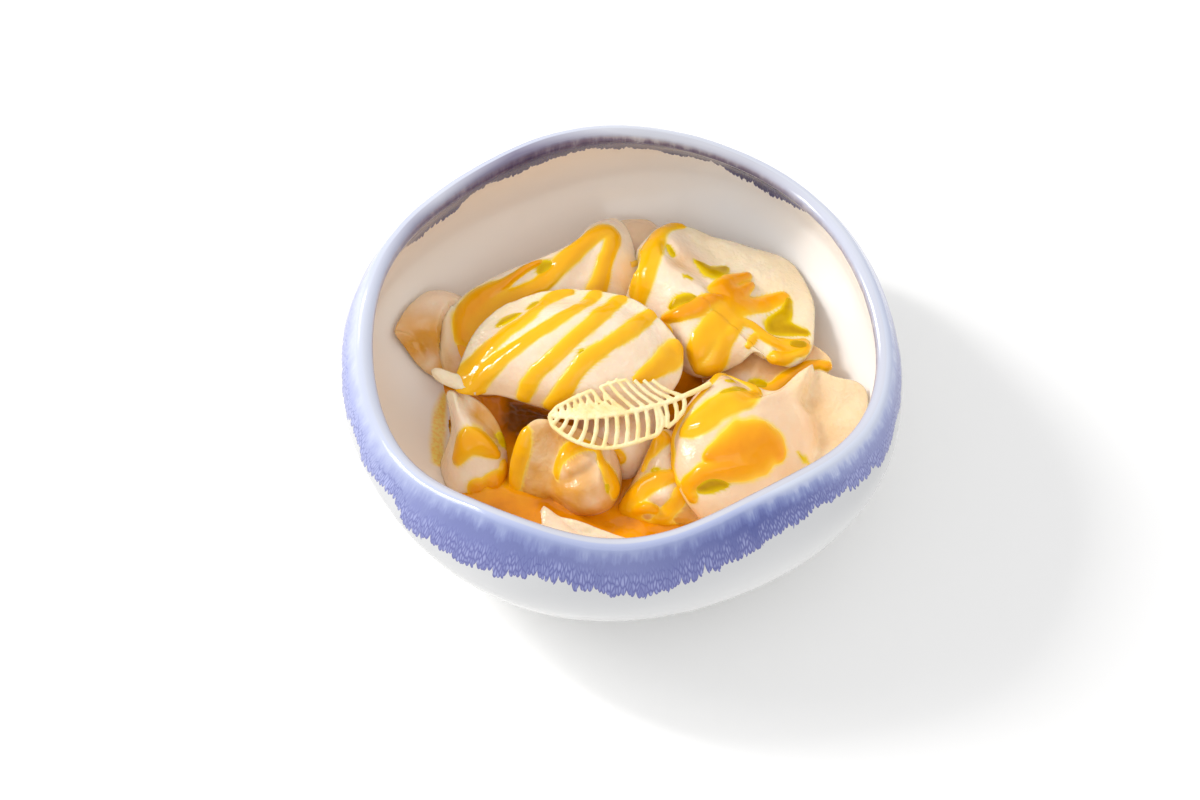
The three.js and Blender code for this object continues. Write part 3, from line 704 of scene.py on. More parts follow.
# Runs of sauce on each dumpling: pixels along the run with the half-width in mm, and the height in mm.
SAUCE = {
    "dumpling_top": [
        ([(571, 292, 1), (560, 294, 1.6), (547, 302, 2), (528, 317, 2.3), (508, 331, 2.3), (492, 345, 2.5),
          (480, 358, 2.9), (468, 372, 3.3), (460, 384, 2.9), (459, 391, 1.6)], 0.7),
        ([(603, 291, 1.5), (592, 298, 1.8), (575, 309, 1.9), (556, 321, 1.9), (537, 333, 1.9),
          (520, 344, 2.1), (506, 354, 2.3), (493, 365, 2.6), (482, 377, 2.7), (474, 389, 2.5)], 0.7),
        ([(628, 297, 1.5), (614, 304, 2), (602, 313, 2.3), (592, 323, 2.1), (580, 333, 2), (568, 344, 2),
          (557, 354, 2), (545, 365, 2), (535, 375, 2.1), (528, 386, 2.2), (524, 397, 2)], 0.65),
        ([(652, 313, 1.6), (643, 320, 2.3), (632, 329, 2.4), (620, 337, 2.1), (607, 345, 2),
          (594, 354, 2.3), (583, 363, 2.3), (575, 373, 2.2), (568, 384, 2.4), (560, 395, 2.4),
          (552, 407, 2.4)], 0.7),
        ([(680, 345, 2), (674, 353, 3.4), (664, 361, 3.1), (655, 368, 2.6), (645, 375, 2),
          (637, 379, 1.2)], 0.8),
        ([(457, 392, 1.2), (470, 397, 1.3), (484, 399, 0.7)], 0.5),
    ],
    "dumpling_back_left": [
        ([(463, 336, 2.4), (465, 322, 3.4), (473, 308, 3.8), (486, 296, 3.2), (500, 287, 1.9),
          (514, 277, 1.2), (527, 268, 1), (540, 262, 0.7)], 1.5),
        ([(468, 334, 3.6), (479, 320, 4.8), (492, 308, 3.9), (508, 299, 2.7), (523, 293, 2.4),
          (537, 287, 2.5), (549, 277, 2.6), (560, 265, 2.6), (573, 253, 2.6), (586, 241, 2.5),
          (598, 232, 2.4), (609, 231, 2.5), (616, 236, 1.8)], 0.9),
        ([(614, 238, 2.4), (609, 252, 2.1), (605, 262, 2.2), (603, 272, 2.4), (600, 282, 2.6),
          (596, 291, 2.8)], 0.8),
    ],
    "dumpling_back_right": [
        ([(681, 226, 1.3), (673, 226, 1.8), (664, 229, 2.1), (656, 236, 2.8), (652, 246, 3.2),
          (650, 257, 3), (648, 268, 2.6), (645, 279, 2.5), (642, 290, 2.3), (639, 301, 2.2)], 0.8),
        ([(643, 253, 2), (638, 264, 1.6), (635, 275, 1.4), (633, 285, 1.2), (632, 294, 1.2),
          (635, 301, 1.2)], 0.7),
        ([(720, 292, 3.2), (728, 283, 2.8), (738, 279, 2), (747, 276, 1.3)], 1.7),
        ([(730, 296, 4.4), (741, 292, 2.2), (751, 285, 1)], 1.7),
        ([(732, 304, 4.6), (748, 306, 3.5), (762, 305, 3), (774, 301, 2.6), (783, 297, 1.7)], 1.3),
        ([(720, 299, 2.6), (711, 300, 2.2), (700, 305, 2.7), (688, 310, 2.6), (678, 314, 1.9),
          (668, 318, 1.5), (664, 322, 1.2), (670, 331, 1)], 1.8),
        ([(729, 310, 4.2), (719, 322, 3.6), (709, 332, 3.2), (702, 342, 3.3), (697, 352, 2.9),
          (695, 362, 1.9), (698, 371, 1.4)], 0.9),
        ([(738, 323, 1.7), (731, 333, 2), (724, 344, 2.2), (720, 355, 2.5), (716, 366, 2.8),
          (712, 378, 2.8)], 0.8),
        ([(740, 322, 1.4), (750, 323, 1.2), (758, 328, 1.2), (768, 336, 1.9), (780, 341, 2.1),
          (793, 342, 2.1), (805, 342, 1.8)], 0.8),
        ([(774, 360, 2), (781, 357, 2.6), (791, 354, 2.3), (800, 351, 2), (806, 347, 1.4)], 0.9),
        ([(755, 336, 1), (752, 341, 1.2), (748, 346, 0.8)], 0.6),
    ],
    "dumpling_right": [
        ([(757, 393, 1.4), (748, 398, 3.2), (736, 400, 3.8), (724, 404, 3.8), (713, 411, 3.9),
          (703, 419, 3.8), (693, 426, 3.1), (684, 431, 1.8)], 0.8),
        ([(727, 373, 1), (712, 382, 1.1), (700, 396, 1), (688, 410, 1.2), (678, 425, 1.6), (673, 440, 1.6),
          (671, 455, 1.6), (673, 470, 1.4), (678, 484, 1.3)], 0.8),
        ([(728, 374, 0.9), (740, 378, 1.1), (750, 385, 1.2), (757, 391, 1.2)], 0.6),
        ([(777, 455, 2.4), (770, 447, 4.6), (757, 443, 6.2), (744, 447, 6.6), (731, 451, 5),
          (719, 455, 3.4), (709, 457, 1.7)], 1.7),
        ([(760, 456, 4.6), (748, 462, 4.6), (735, 467, 3.8), (720, 470, 3.4), (706, 474, 2.9),
          (696, 480, 2.6), (687, 487, 2.2), (680, 495, 1.8), (680, 503, 1.8)], 1.4),
    ],
    "dumpling_left": [
        ([(457, 457, 2.2), (461, 448, 3.4), (470, 441, 3.7), (481, 441, 3.8), (490, 447, 2.8),
          (497, 454, 1.4)], 1.1),
        ([(473, 497, 2.2), (482, 490, 2.4), (493, 482, 2.5), (503, 474, 2.2), (509, 466, 1.5)], 1.5),
        ([(481, 500, 2.6), (492, 494, 3.2), (503, 489, 2.8)], 1.8),
    ],
    "dumpling_front": [
        ([(538, 415, 0.9), (528, 422, 1.6), (523, 434, 2.3), (521, 447, 2.7), (518, 460, 2.6),
          (516, 472, 2.3), (514, 484, 2.1), (513, 494, 2)], 0.9),
        ([(557, 476, 1.2), (559, 464, 1.5), (565, 454, 1.9), (575, 447, 2), (587, 446, 1.7),
          (597, 449, 1.3)], 0.9),
        ([(599, 453, 1), (602, 463, 1.2), (607, 472, 2.1), (612, 481, 2.6), (616, 490, 2.4)], 0.9),
    ],
    "dumpling_front_right": [
        ([(662, 438, 2.4), (655, 447, 2.4), (648, 458, 1.6), (644, 468, 1.2)], 0.8),
        ([(680, 474, 1.6), (668, 477, 2), (657, 480, 2.4), (646, 485, 2.9), (636, 493, 3.1), (627, 502, 3),
          (622, 511, 2.6), (632, 520, 2.6), (648, 526, 2.8), (668, 526, 2.6)], 1),
        ([(681, 494, 2.2), (674, 505, 2), (667, 513, 2), (660, 520, 2.2)], 0.9),
        ([(620, 514, 2.6), (634, 518, 2.8), (644, 526, 2.8)], 0.9),
        ([(636, 511, 1.4), (646, 508, 1.6), (655, 510, 1.2)], 1.3),
    ],
    "dumpling_under_right": [
        ([(777, 387, 2), (787, 380, 2.5), (797, 373, 1.9), (808, 366, 1.5), (818, 364, 1.4),
          (827, 366, 1.5), (831, 371, 1.1)], 1.2),
        ([(757, 388, 1.5), (766, 392, 2.2), (773, 389, 2), (780, 391, 1.4)], 0.9),
    ],
    "dumpling_middle": [([(604, 452, 1.8), (613, 456, 2.4), (620, 458, 1.6)], 0.9)],
    "dumpling_far_left": [([(462, 346, 2.6), (464, 356, 1.8)], 1.2)],
}
# Herb oil that has run into dents of the dough or floats on the sauce, in the same terms.
OIL = {
    "dumpling_top": [
        ([(499, 325, 1), (505, 321, 1.8), (513, 317, 1.7), (519, 314, 0.8)], 0.4),
        ([(529, 308, 0.9), (534, 305, 1.3), (538, 303, 0.8)], 0.4),
        ([(578, 353, 0.5), (583, 350, 0.6)], 0.3),
    ],
    "dumpling_back_left": [
        ([(540, 271, 1.2), (545, 267, 1.8), (551, 264, 0.9)], 0.4),
        ([(561, 247, 0.8), (566, 245, 0.8)], 0.3),
        ([(530, 286, 0.7), (535, 284, 0.8)], 0.3),
    ],
    "dumpling_back_right": [
        ([(697, 262, 1.1), (705, 267, 2.1), (713, 272, 2.9), (720, 270, 2.2), (726, 268, 1)], 0.5),
        ([(671, 307, 0.9), (679, 302, 1.9), (688, 300, 1.8), (694, 298, 0.9)], 0.5),
        ([(788, 300, 1), (786, 311, 1.9), (780, 319, 2.8), (771, 327, 2.1), (784, 328, 2.2),
          (797, 331, 1.5), (806, 333, 1.1)], 0.5),
        ([(668, 246, 0.7), (672, 254, 1.1)], 0.3),
        ([(685, 276, 0.8), (692, 278, 0.8)], 0.3),
        ([(792, 344, 1), (803, 345, 1.3)], 0.5),
    ],
    "dumpling_right": [
        ([(701, 488, 1.5), (708, 485, 2.2), (716, 483, 2), (726, 485, 0.9)], 0.5),
        ([(722, 393, 0.8), (733, 390, 1.1), (745, 390, 1)], 0.4),
        ([(728, 381, 0.9), (733, 381, 0.9)], 0.3),
        ([(799, 452, 0.5), (804, 459, 0.6), (808, 464, 0.5)], 0.3),
    ],
    "dumpling_under_right": [([(752, 384, 1.3), (758, 384, 1.6), (764, 386, 1.2)], 0.4)],
    "dumpling_left": [([(499, 435, 0.9), (503, 440, 1.6), (506, 447, 1.1)], 0.4)],
    "dumpling_front": [([(607, 486, 0.8), (608, 491, 0.7)], 0.3)],
    "dumpling_front_right": [([(653, 470, 0.7), (658, 470, 0.6)], 0.3)],
}
SPREAD = 1.26  # how far a run has spread past its stated width, most of it as a thin edge
SKIN = 0.9  # how deep a run's underside lies in what it runs over
RAGGED, RAGGED_SIZE = 0.13, 4.0  # how much a run's width wanders, and over how many mm
BLENDING = 0.35  # how softly runs that meet flow together
SUNK = 0.6  # how far a run's surface sinks into its bed beside it
COATED_ABOVE = -0.35  # a face belongs to a run where its height is over this
STAIN_REACH = 0.5  # how far beside a run the dough is still coloured, as a share of the run's
PULL = 4  # how strongly the nearest of several runs sets the height
ROUNDNESS = 0.8
FLOATING_ABOVE = -0.3  # herb oil over this height is lifted onto the sauce under it
OIL_SEED = 7  # added to the seed for herb oil


def stain_of(inside):
    """How strongly a run colours what lies under and just beside it."""
    return smoothstep((inside + STAIN_REACH) / STAIN_REACH)


def run_field(points, tree, runs, height, seed):
    """How deep inside a run each point lies (1 on its line, 0 at its edge), and the height there."""
    inside = np.full(len(points), -9.0)
    weight = np.full(len(points), 1e-9)
    total = np.zeros(len(points))
    ragged = (1 + RAGGED * lumps(points, RAGGED_SIZE, seed)) / SPREAD
    for pixels, rise in runs:
        path = pick_path(tree, pixels, height)
        near = nearness(points, path[:, :3], path[:, 3]) * ragged
        share = 1 - near ** 2
        blend = np.clip(0.5 + 0.5 * (share - inside) / BLENDING, 0, 1)
        inside = inside + (share - inside) * blend + BLENDING * blend * (1 - blend)
        pull = np.exp(np.clip(PULL * share, -40, PULL))
        weight += pull
        total += pull * rise
    return inside, total / weight


def run_height(inside, rise):
    """A run's surface over its bed: rounded up from the edge, and sunk into the bed outside it."""
    above = rise * np.clip(inside, 0, 1) ** ROUNDNESS
    return np.where(inside > 0, above, -SUNK * np.clip(-inside, 0, 1) ** ROUNDNESS)


def coat(name, bed, height, depth, material):
    """A closed skin of liquid over its bed's faces, where its height comes above them."""
    points, faces, normals = bed
    faces = [f for f in faces if max(height[list(f)]) > COATED_ABOVE]
    used = np.unique(np.concatenate([np.array(f) for f in faces]))
    index = {int(v): i for i, v in enumerate(used)}
    count = len(used)
    top = points[used] + normals[used] * height[used][:, None]
    bottom = points[used] - normals[used] * SKIN
    upper = [tuple(index[int(v)] for v in f) for f in faces]
    lower = [tuple(v + count for v in reversed(f)) for f in upper]
    edges = {(a, b) for f in upper for a, b in zip(f, f[1:] + f[:1])}
    sides = [(b, a, a + count, b + count) for a, b in edges if (b, a) not in edges]
    thick = np.concatenate([depth[used], np.zeros(count)])
    thing = link_mesh(name, np.vstack([top, bottom]), upper + lower + sides, {"thick": thick})
    smoothing = thing.modifiers.new("smooth", "SUBSURF")
    smoothing.levels = 1
    smoothing.render_levels = 1
    finish_piece(thing, material, "sauce")


def dress_dumpling(thing, name, points, faces, seed):
    tree = bvh_of(points, faces)
    bed = (points, faces, normals_of(thing))
    height = DUMPLINGS[name]["belly"][2]
    sauce = np.full(len(points), -1.0)
    stain, green = np.zeros(len(points)), np.zeros(len(points))
    if name in SAUCE:
        inside, rise = run_field(points, tree, SAUCE[name], height, seed)
        sauce = run_height(inside, rise)
        stain = stain_of(inside)
        coat("sauce_" + name, bed, sauce, sauce, SAUCE_MATERIAL)
    if name in OIL:
        inside, rise = run_field(points, tree, OIL[name], height, seed + OIL_SEED)
        oil = run_height(inside, rise)
        green = stain_of(inside)
        over = np.where(oil > FLOATING_ABOVE, np.maximum(sauce, 0) * np.clip(inside + 0.4, 0, 1), 0)
        coat("oil_" + name, bed, oil + over, oil, OIL_MATERIAL)
    store(thing.data, "stain", stain)
    store(thing.data, "green", green)


# ---- the pinched end of the seam

TONGUE = [(-47, -3, 35), (-56, -1, 36), (-62, 2, 37)]
TONGUE_AROUND = 16
TONGUE_HALF_WIDTH, TONGUE_NARROWING = 3.5, 1.5  # at its root, and how much less at its end
TONGUE_HALF_HEIGHT = 1.6
ROUND_FROM = 0.75  # where along the tongue its round end begins


def make_tongue():
    """The pinched end of the top dumpling's seam, a small tongue of dough."""
    path = spline(TONGUE, 0.8)
    points = [path[0]]
    for i, centre in enumerate(path):
        share = i / (len(path) - 1)
        along = direction(path, i)
        side = np.array([-along[1], along[0], 0])
        side /= np.linalg.norm(side)
        tip = max(0, share - ROUND_FROM) / (1 - ROUND_FROM)
        size = math.sqrt(max(0.02, 1 - tip ** 2))
        half_width = (TONGUE_HALF_WIDTH - TONGUE_NARROWING * share) * size
        for j in range(TONGUE_AROUND):
            angle = math.pi - 2 * math.pi * j / TONGUE_AROUND
            rise = math.sin(angle) * TONGUE_HALF_HEIGHT * size
            points.append(centre + side * math.cos(angle) * half_width + np.array([0, 0, rise]))
    points = np.array(points + [path[-1]])
    faces = capped_rings(len(path), TONGUE_AROUND)
    thing = link_mesh("dough_tongue", points, faces, {"thin": np.ones(len(points))})
    finish_piece(thing, DOUGH_MATERIAL, "dough")


# ---- sauce pool

POOL_RINGS = 70
POOL_AROUND = 200
# Where sauce has heaped up against dumplings or drained off: place (x, y), reach and height in mm.
POOL_HEAPS = [
    (-41, -33, 11, 4), (-24, -44, 10, 1), (10, -52, 14, 3), (-34, -8, 10, 2), (-64, -6, 15, -7),
]
# Where the sauce stands deeper or shallower than elsewhere, in the same terms; the first, deeper in the
# crevice under the top dumpling, darkens the sauce there as painted shade.
POOL_DEPTHS_AND_SHADE = [(-31, -3, 9, 1.8), (-37, -17, 6, -1.4), (-60, -10, 11, -1.6), (-44, -31, 8, -0.8)]
POOL_SIDES = [13, 10.5, 8.5, 7.5]  # heights of the rings down the bowl's wall
POOL_BOTTOM = 7.2
TOP_OVERLAP, SIDE_OVERLAP = 0.4, 0.2  # how far the sauce reaches into the wall
CLIMB, CLIMB_REACH = 1.4, 1.8  # how high sauce climbs up dough, and how near to it
DEPTH, LEAST_DEPTH = 2.1, 0.15
# Ripples of its surface, and waves of its depth, as height and size in mm with a place or a seed.
RIPPLES = [(0.8, 7, 0), (0.35, 2.6, 9)]
DEPTH_WAVES = [(1.0, 9, 5), (0.4, 3, 6)]


def wall_ring(theta, heights, overlap, share=1):
    """A ring of points at a share of the way from the middle to the bowl's inner wall."""
    radius = share * (inner_radius(theta, heights) + overlap)
    return np.stack([radius * np.cos(theta), radius * np.sin(theta), heights + 0 * theta], 1)


def pool_height(x, y, placed):
    """The pool's surface at a place, heaped up and climbing against the dumplings."""
    place = np.array([[x, y]])
    rise = sum(height * gaussian(place, a, b, reach)[0] for a, b, reach, height in POOL_HEAPS)
    near = placed.find_nearest(Vector((x, y, POOL_LEVEL + rise)))[3]
    ripple = sum(height * noise.noise(Vector((x, y, layer)) / size) for height, size, layer in RIPPLES)
    return POOL_LEVEL + rise + CLIMB * math.exp(-near / CLIMB_REACH) + ripple


def make_pool(placed):
    """The pool's top from the middle outwards, then its side down the wall to its bottom."""
    theta = np.arange(POOL_AROUND) / POOL_AROUND * 2 * math.pi
    rings = [[(0, 0, pool_height(0, 0, placed))]]
    for share in np.arange(1, POOL_RINGS + 1) / POOL_RINGS:
        about = wall_ring(theta, POOL_LEVEL + 2, TOP_OVERLAP, share)
        heights = np.array([pool_height(x, y, placed) for x, y, z in about])
        rings.append(wall_ring(theta, heights, TOP_OVERLAP, share))
    rings += [wall_ring(theta, height, SIDE_OVERLAP) for height in POOL_SIDES]
    points = np.vstack(rings + [[(0, 0, POOL_BOTTOM)]])
    faces = [f[::-1] for f in capped_rings(POOL_RINGS + len(POOL_SIDES), POOL_AROUND)]
    thick = DEPTH + unevenness(points, DEPTH_WAVES)
    # deeper spots darken the sauce; the one in the crevice under the top dumpling is painted shade
    thick += sum(more * gaussian(points, x, y, reach) for x, y, reach, more in POOL_DEPTHS_AND_SHADE)
    thing = link_mesh("pool_sauce", points, faces, {"thick": np.maximum(thick, LEAST_DEPTH)})
    finish_piece(thing, SAUCE_MATERIAL, "sauce", "sauce_pool")


# ---- oil on the wall

# Yellow oil that has run down inside the left wall as a thin film: pixels and half-width in mm.
WALL_OIL = [(443, 390, 1.2), (441, 405, 2.2), (439, 422, 2.9), (438, 440, 3.2), (437, 462, 2.6)]
WALL_OIL_MIDDLE = (437, 430)
WALL_OIL_HEIGHT, WALL_OIL_REACH = 25, 32


def oil_wall(points, faces, bowl):
    # only the wall round the film is kept, so that no pixel picks the lip before it
    centre = pick(bvh_of(points, faces), *WALL_OIL_MIDDLE, WALL_OIL_HEIGHT)
    near = np.linalg.norm(points - centre, axis=1) < WALL_OIL_REACH
    kept = [f for f in faces if all(near[list(f)])]
    path = pick_path(bvh_of(points, kept), WALL_OIL, WALL_OIL_HEIGHT)
    oiled = np.zeros(len(points))
    oiled[near] = np.exp(-nearness(points[near], path[:, :3], path[:, 3]) ** 2)
    store(bowl.data, "oiled", oiled)


# ---- lace leaf

LEAF_MIDRIB = [
    (-24, -16, 36.5), (-13, -18.5, 39), (-2, -18, 40.5), (11, -15, 41.3), (20, -11, 41.4), (27, -7, 41.6),
]
LEAF_BLADE = 45
LEAF_FRONT, LEAF_BACK = 11, 11
LEAF_SLOPE = 24
LEAF_RIBS = 14
LEAF_TIP_TO_RIB = 3
LEAF_FRONT_LEAN, LEAF_BACK_LEAN = 1.5, 8
RIB_BOW_FRONT, RIB_BOW_BACK = 0.4, -0.5
RIB_RAGGED = 0.6  # how far the ends of the back ribs stand out by turns
RIB_INSET, BORDER_INSET = 0.3, 0.8  # how far ribs and border stay inside the back of the blade
RIB_TAPER = 0.85
BLADE_START, BLADE_SPAN, BLADE_ROUNDNESS = 0.03, 0.93, 0.7  # the part of a sine's arch that the blade has
LEAF_BAR = 1.2
LEAF_THICKNESS = 1.1
LEAF_WAVES = 2.5
LEAF_WAVE = 0.6
LEAF_BREAK = 36  # where along the midrib the front border turns back to it, before the last ribs
LEAF_TURN = [(2.4, 0.6), (2.2, 0)]  # how that border goes back: mm along, and share of the blade
LEAF_FILMED = 7  # corners between back ribs that are filled with melted film
FILM_RADII = (0.85, 0.35)
LEAF_BORDERED, LEAF_CLOSED = 7, 11  # back ribs that a border joins, and that a thinner one joins after them
RIB_RADIUS = 0.78
MIDRIB_RADIUS = 0.95
BAR_WOBBLE, WOBBLE_SIZE = 0.18, 1.7
BAR_FLATTENED = 0.85
MELT_VOXEL = 0.24
MELT_ROUNDS = 2


def blade_edge(along, width):
    share = min(1, max(0, along / LEAF_BLADE))
    return width * math.sin(math.pi * (BLADE_START + BLADE_SPAN * share)) ** BLADE_ROUNDNESS


def leaf_point(line, lengths, along, across):
    """A place on the leaf, from how far it lies along the midrib and across it."""
    along = min(max(along, 0), lengths[-1])
    on_line = lambda place: np.array([np.interp(place, lengths, column) for column in line.T])
    tangent = on_line(min(along + 1, lengths[-1])) - on_line(max(along - 1, 0))
    side = np.array([-tangent[1], tangent[0], 0])
    side /= np.linalg.norm(side)
    point = on_line(along) + side * across * math.cos(LEAF_SLOPE * RAD)
    point[2] += across * math.sin(LEAF_SLOPE * RAD) + LEAF_THICKNESS / 2
    wave_share = abs(across) / LEAF_BACK
    point[2] += LEAF_WAVE * wave_share * math.sin(2 * math.pi * LEAF_WAVES * along / lengths[-1])
    return point


def bar_mesh(path, radii, points, faces, around=8):
    """Adds a round bar along a path to a list of points and faces."""
    start = len(points)
    for i, centre in enumerate(path):
        along = direction(path, i)
        along = along / np.linalg.norm(along)
        side = np.cross(along, (0, 0, 1.0))
        side /= np.linalg.norm(side)
        over = np.cross(side, along)
        for j in range(around):
            angle = 2 * math.pi * j / around
            offset = side * math.cos(angle) + BAR_FLATTENED * over * math.sin(angle)
            points.append(centre + radii[i] * offset)
    for i in range(len(path) - 1):
        for j in range(around):
            a, b = start + i * around + j, start + i * around + (j + 1) % around
            faces.append((a, b, b + around, a + around))
    faces.append(tuple(start + j for j in reversed(range(around))))
    faces.append(tuple(start + (len(path) - 1) * around + j for j in range(around)))


def make_leaf():
    line = spline(LEAF_MIDRIB, 0.5)
    lengths = np.concatenate([[0], np.cumsum(np.linalg.norm(np.diff(line, axis=0), axis=1))])
    spacing = (LEAF_BLADE - LEAF_BAR - LEAF_TIP_TO_RIB) / (LEAF_RIBS - 1)
    bases = [LEAF_TIP_TO_RIB + spacing * i for i in range(LEAF_RIBS)]
    leaning = lambda lean: [max(LEAF_BAR, b - lean * min(1, b / (2 * lean))) for b in bases]
    front, back = leaning(LEAF_FRONT_LEAN), leaning(LEAF_BACK_LEAN)
    front_edge = lambda end: LEAF_BAR / 2 - blade_edge(end, LEAF_FRONT)
    back_edge = lambda end: blade_edge(end, LEAF_BACK)
    points, faces = [], []

    def bar(stops, start_radius=RIB_RADIUS, end_radius=RIB_RADIUS):
        path = spline([leaf_point(line, lengths, *stop) for stop in stops], 0.7)
        shares = np.arange(len(path)) / (len(path) - 1)
        wobble = np.array([1 + BAR_WOBBLE * noise.noise(Vector(p) / WOBBLE_SIZE) for p in path])
        bar_mesh(path, wobble * (start_radius + (end_radius - start_radius) * shares), points, faces)

    bar([(along, 0) for along in np.linspace(0, lengths[-1], 12)], MIDRIB_RADIUS * 0.8, MIDRIB_RADIUS)
    for base, end in zip(bases, front):
        low = front_edge(end)
        bar([(base, 0), ((base + end) / 2 + RIB_BOW_FRONT, low / 2), (end, low)])
    for i, (base, end) in enumerate(zip(bases, back)):
        top = back_edge(end) - RIB_INSET + RIB_RAGGED * math.sin(5 * i)
        stops = [(base, 0), ((base + end) / 2 + RIB_BOW_BACK, top / 2), (end, top)]
        bar(stops, RIB_RADIUS, RIB_TAPER * RIB_RADIUS)
    for i in range(LEAF_FILMED):
        base, end = (bases[i] + bases[i + 1]) / 2, (back[i] + back[i + 1]) / 2
        top = 0.7 * back_edge(end)
        bar([(base, 0), ((base + end) / 2, top / 2), ((base + 2 * end) / 3, top)], *FILM_RADII)
    # the front border in two parts, and the back border
    first = [(end, front_edge(end)) for end in front if end < LEAF_BREAK]
    last = [(end, front_edge(end)) for end in front if end > LEAF_BREAK]
    end, low = first[-1]
    bar([(0, 0)] + first + [(end + further, low * share) for further, share in LEAF_TURN])
    bar(last)
    tips = [(end, back_edge(end) - BORDER_INSET) for end in back]
    bar([(0, 0)] + tips[:LEAF_BORDERED])
    bar(tips[LEAF_BORDERED:LEAF_CLOSED], 0.8 * RIB_RADIUS, 0.7 * RIB_RADIUS)
    thing = link_mesh("lace_wafer", np.array(points), faces)
    remesh = thing.modifiers.new("melt", "REMESH")
    remesh.mode = "VOXEL"
    remesh.voxel_size = MELT_VOXEL * MM
    remesh.use_smooth_shade = True
    thing.modifiers.new("soften", "SMOOTH").iterations = MELT_ROUNDS
    finish_piece(thing, wafer_material(), "wafer", "lace_leaf")


# ---- materials

class Value:
    """What a shader node gives out; sums and products of values are nodes as well."""

    def __init__(self, socket):
        self.socket = socket
        self.tree = socket.id_data

    def __add__(self, other):
        return maths("ADD", self, other)

    def __radd__(self, other):
        return maths("ADD", other, self)

    def __sub__(self, other):
        return maths("SUBTRACT", self, other)

    def __rsub__(self, other):
        return maths("SUBTRACT", other, self)

    def __mul__(self, other):
        return maths("MULTIPLY", self, other)

    def __truediv__(self, other):
        return maths("DIVIDE", self, other)


def new_material(name):
    material = bpy.data.materials.new(name)
    material.use_nodes = True
    return material, material.node_tree, material.node_tree.nodes["Principled BSDF"]


def join(value, socket):
    """Links a value to a socket, or sets the socket to a number or a colour."""
    if isinstance(value, Value):
        value.tree.links.new(value.socket, socket)
    else:
        socket.default_value = value


def dress(shader, **inputs):
    """Fills a shader's own sockets, named with _ for a space."""
    for key, value in inputs.items():
        join(value, shader.inputs[key.replace("_", " ")])


def add(tree, kind, settings=None, output=0, **inputs):
    """A new shader node's output, or several; an input goes by its name, or as i and its number."""
    made = tree.nodes.new("ShaderNode" + kind)
    for key, value in (settings or {}).items():
        setattr(made, key, value)
    for key, value in inputs.items():
        join(value, made.inputs[int(key[1:]) if key[1:].isdigit() else key])
    if isinstance(output, tuple):
        return [Value(made.outputs[which]) for which in output]
    return Value(made.outputs[output])


def maths(operation, a, b, clamp=False):
    tree = a.tree if isinstance(a, Value) else b.tree
    return add(tree, "Math", {"operation": operation, "use_clamp": clamp}, i0=a, i1=b)


def mix(share, a, b):
    return add(share.tree, "Mix", {"data_type": "RGBA"}, 2, i0=share, i6=a, i7=b)


def between(value, low, high):
    """0 where a value is under low, 1 over high."""
    return add(value.tree, "MapRange", {"interpolation_type": "SMOOTHSTEP"}, i0=value, i1=low, i2=high)


def colour(red, green, blue):
    """A colour as seen on a screen, 0 to 255, as a shader's linear colour."""
    shares = (red / 255, green / 255, blue / 255)
    linear = [v / 12.92 if v < 0.0404 else ((v + 0.055) / 1.055) ** 2.4 for v in shares]
    return (*linear, 1.0)


def ramp(value, stops):
    """A colour that goes with a value, through stops of place, red, green and blue."""
    made = value.tree.nodes.new("ShaderNodeValToRGB")
    join(value, made.inputs[0])
    band = made.color_ramp
    while len(band.elements) < len(stops):
        band.elements.new(0.5)
    for element, (place, *tone) in zip(band.elements, stops):
        element.position = place
        element.color = colour(*tone)
    return Value(made.outputs[0])


def object_place(tree):
    return add(tree, "TexCoord", output="Object")


def attribute(tree, name):
    return add(tree, "Attribute", {"attribute_name": name}, "Fac")


def grain(place, scale, detail=2.0):
    return add(place.tree, "TexNoise", Vector=place, Scale=scale, Detail=detail)


def bumps(height, strength, distance):
    return add(height.tree, "Bump", Strength=strength, Distance=distance, Height=height)


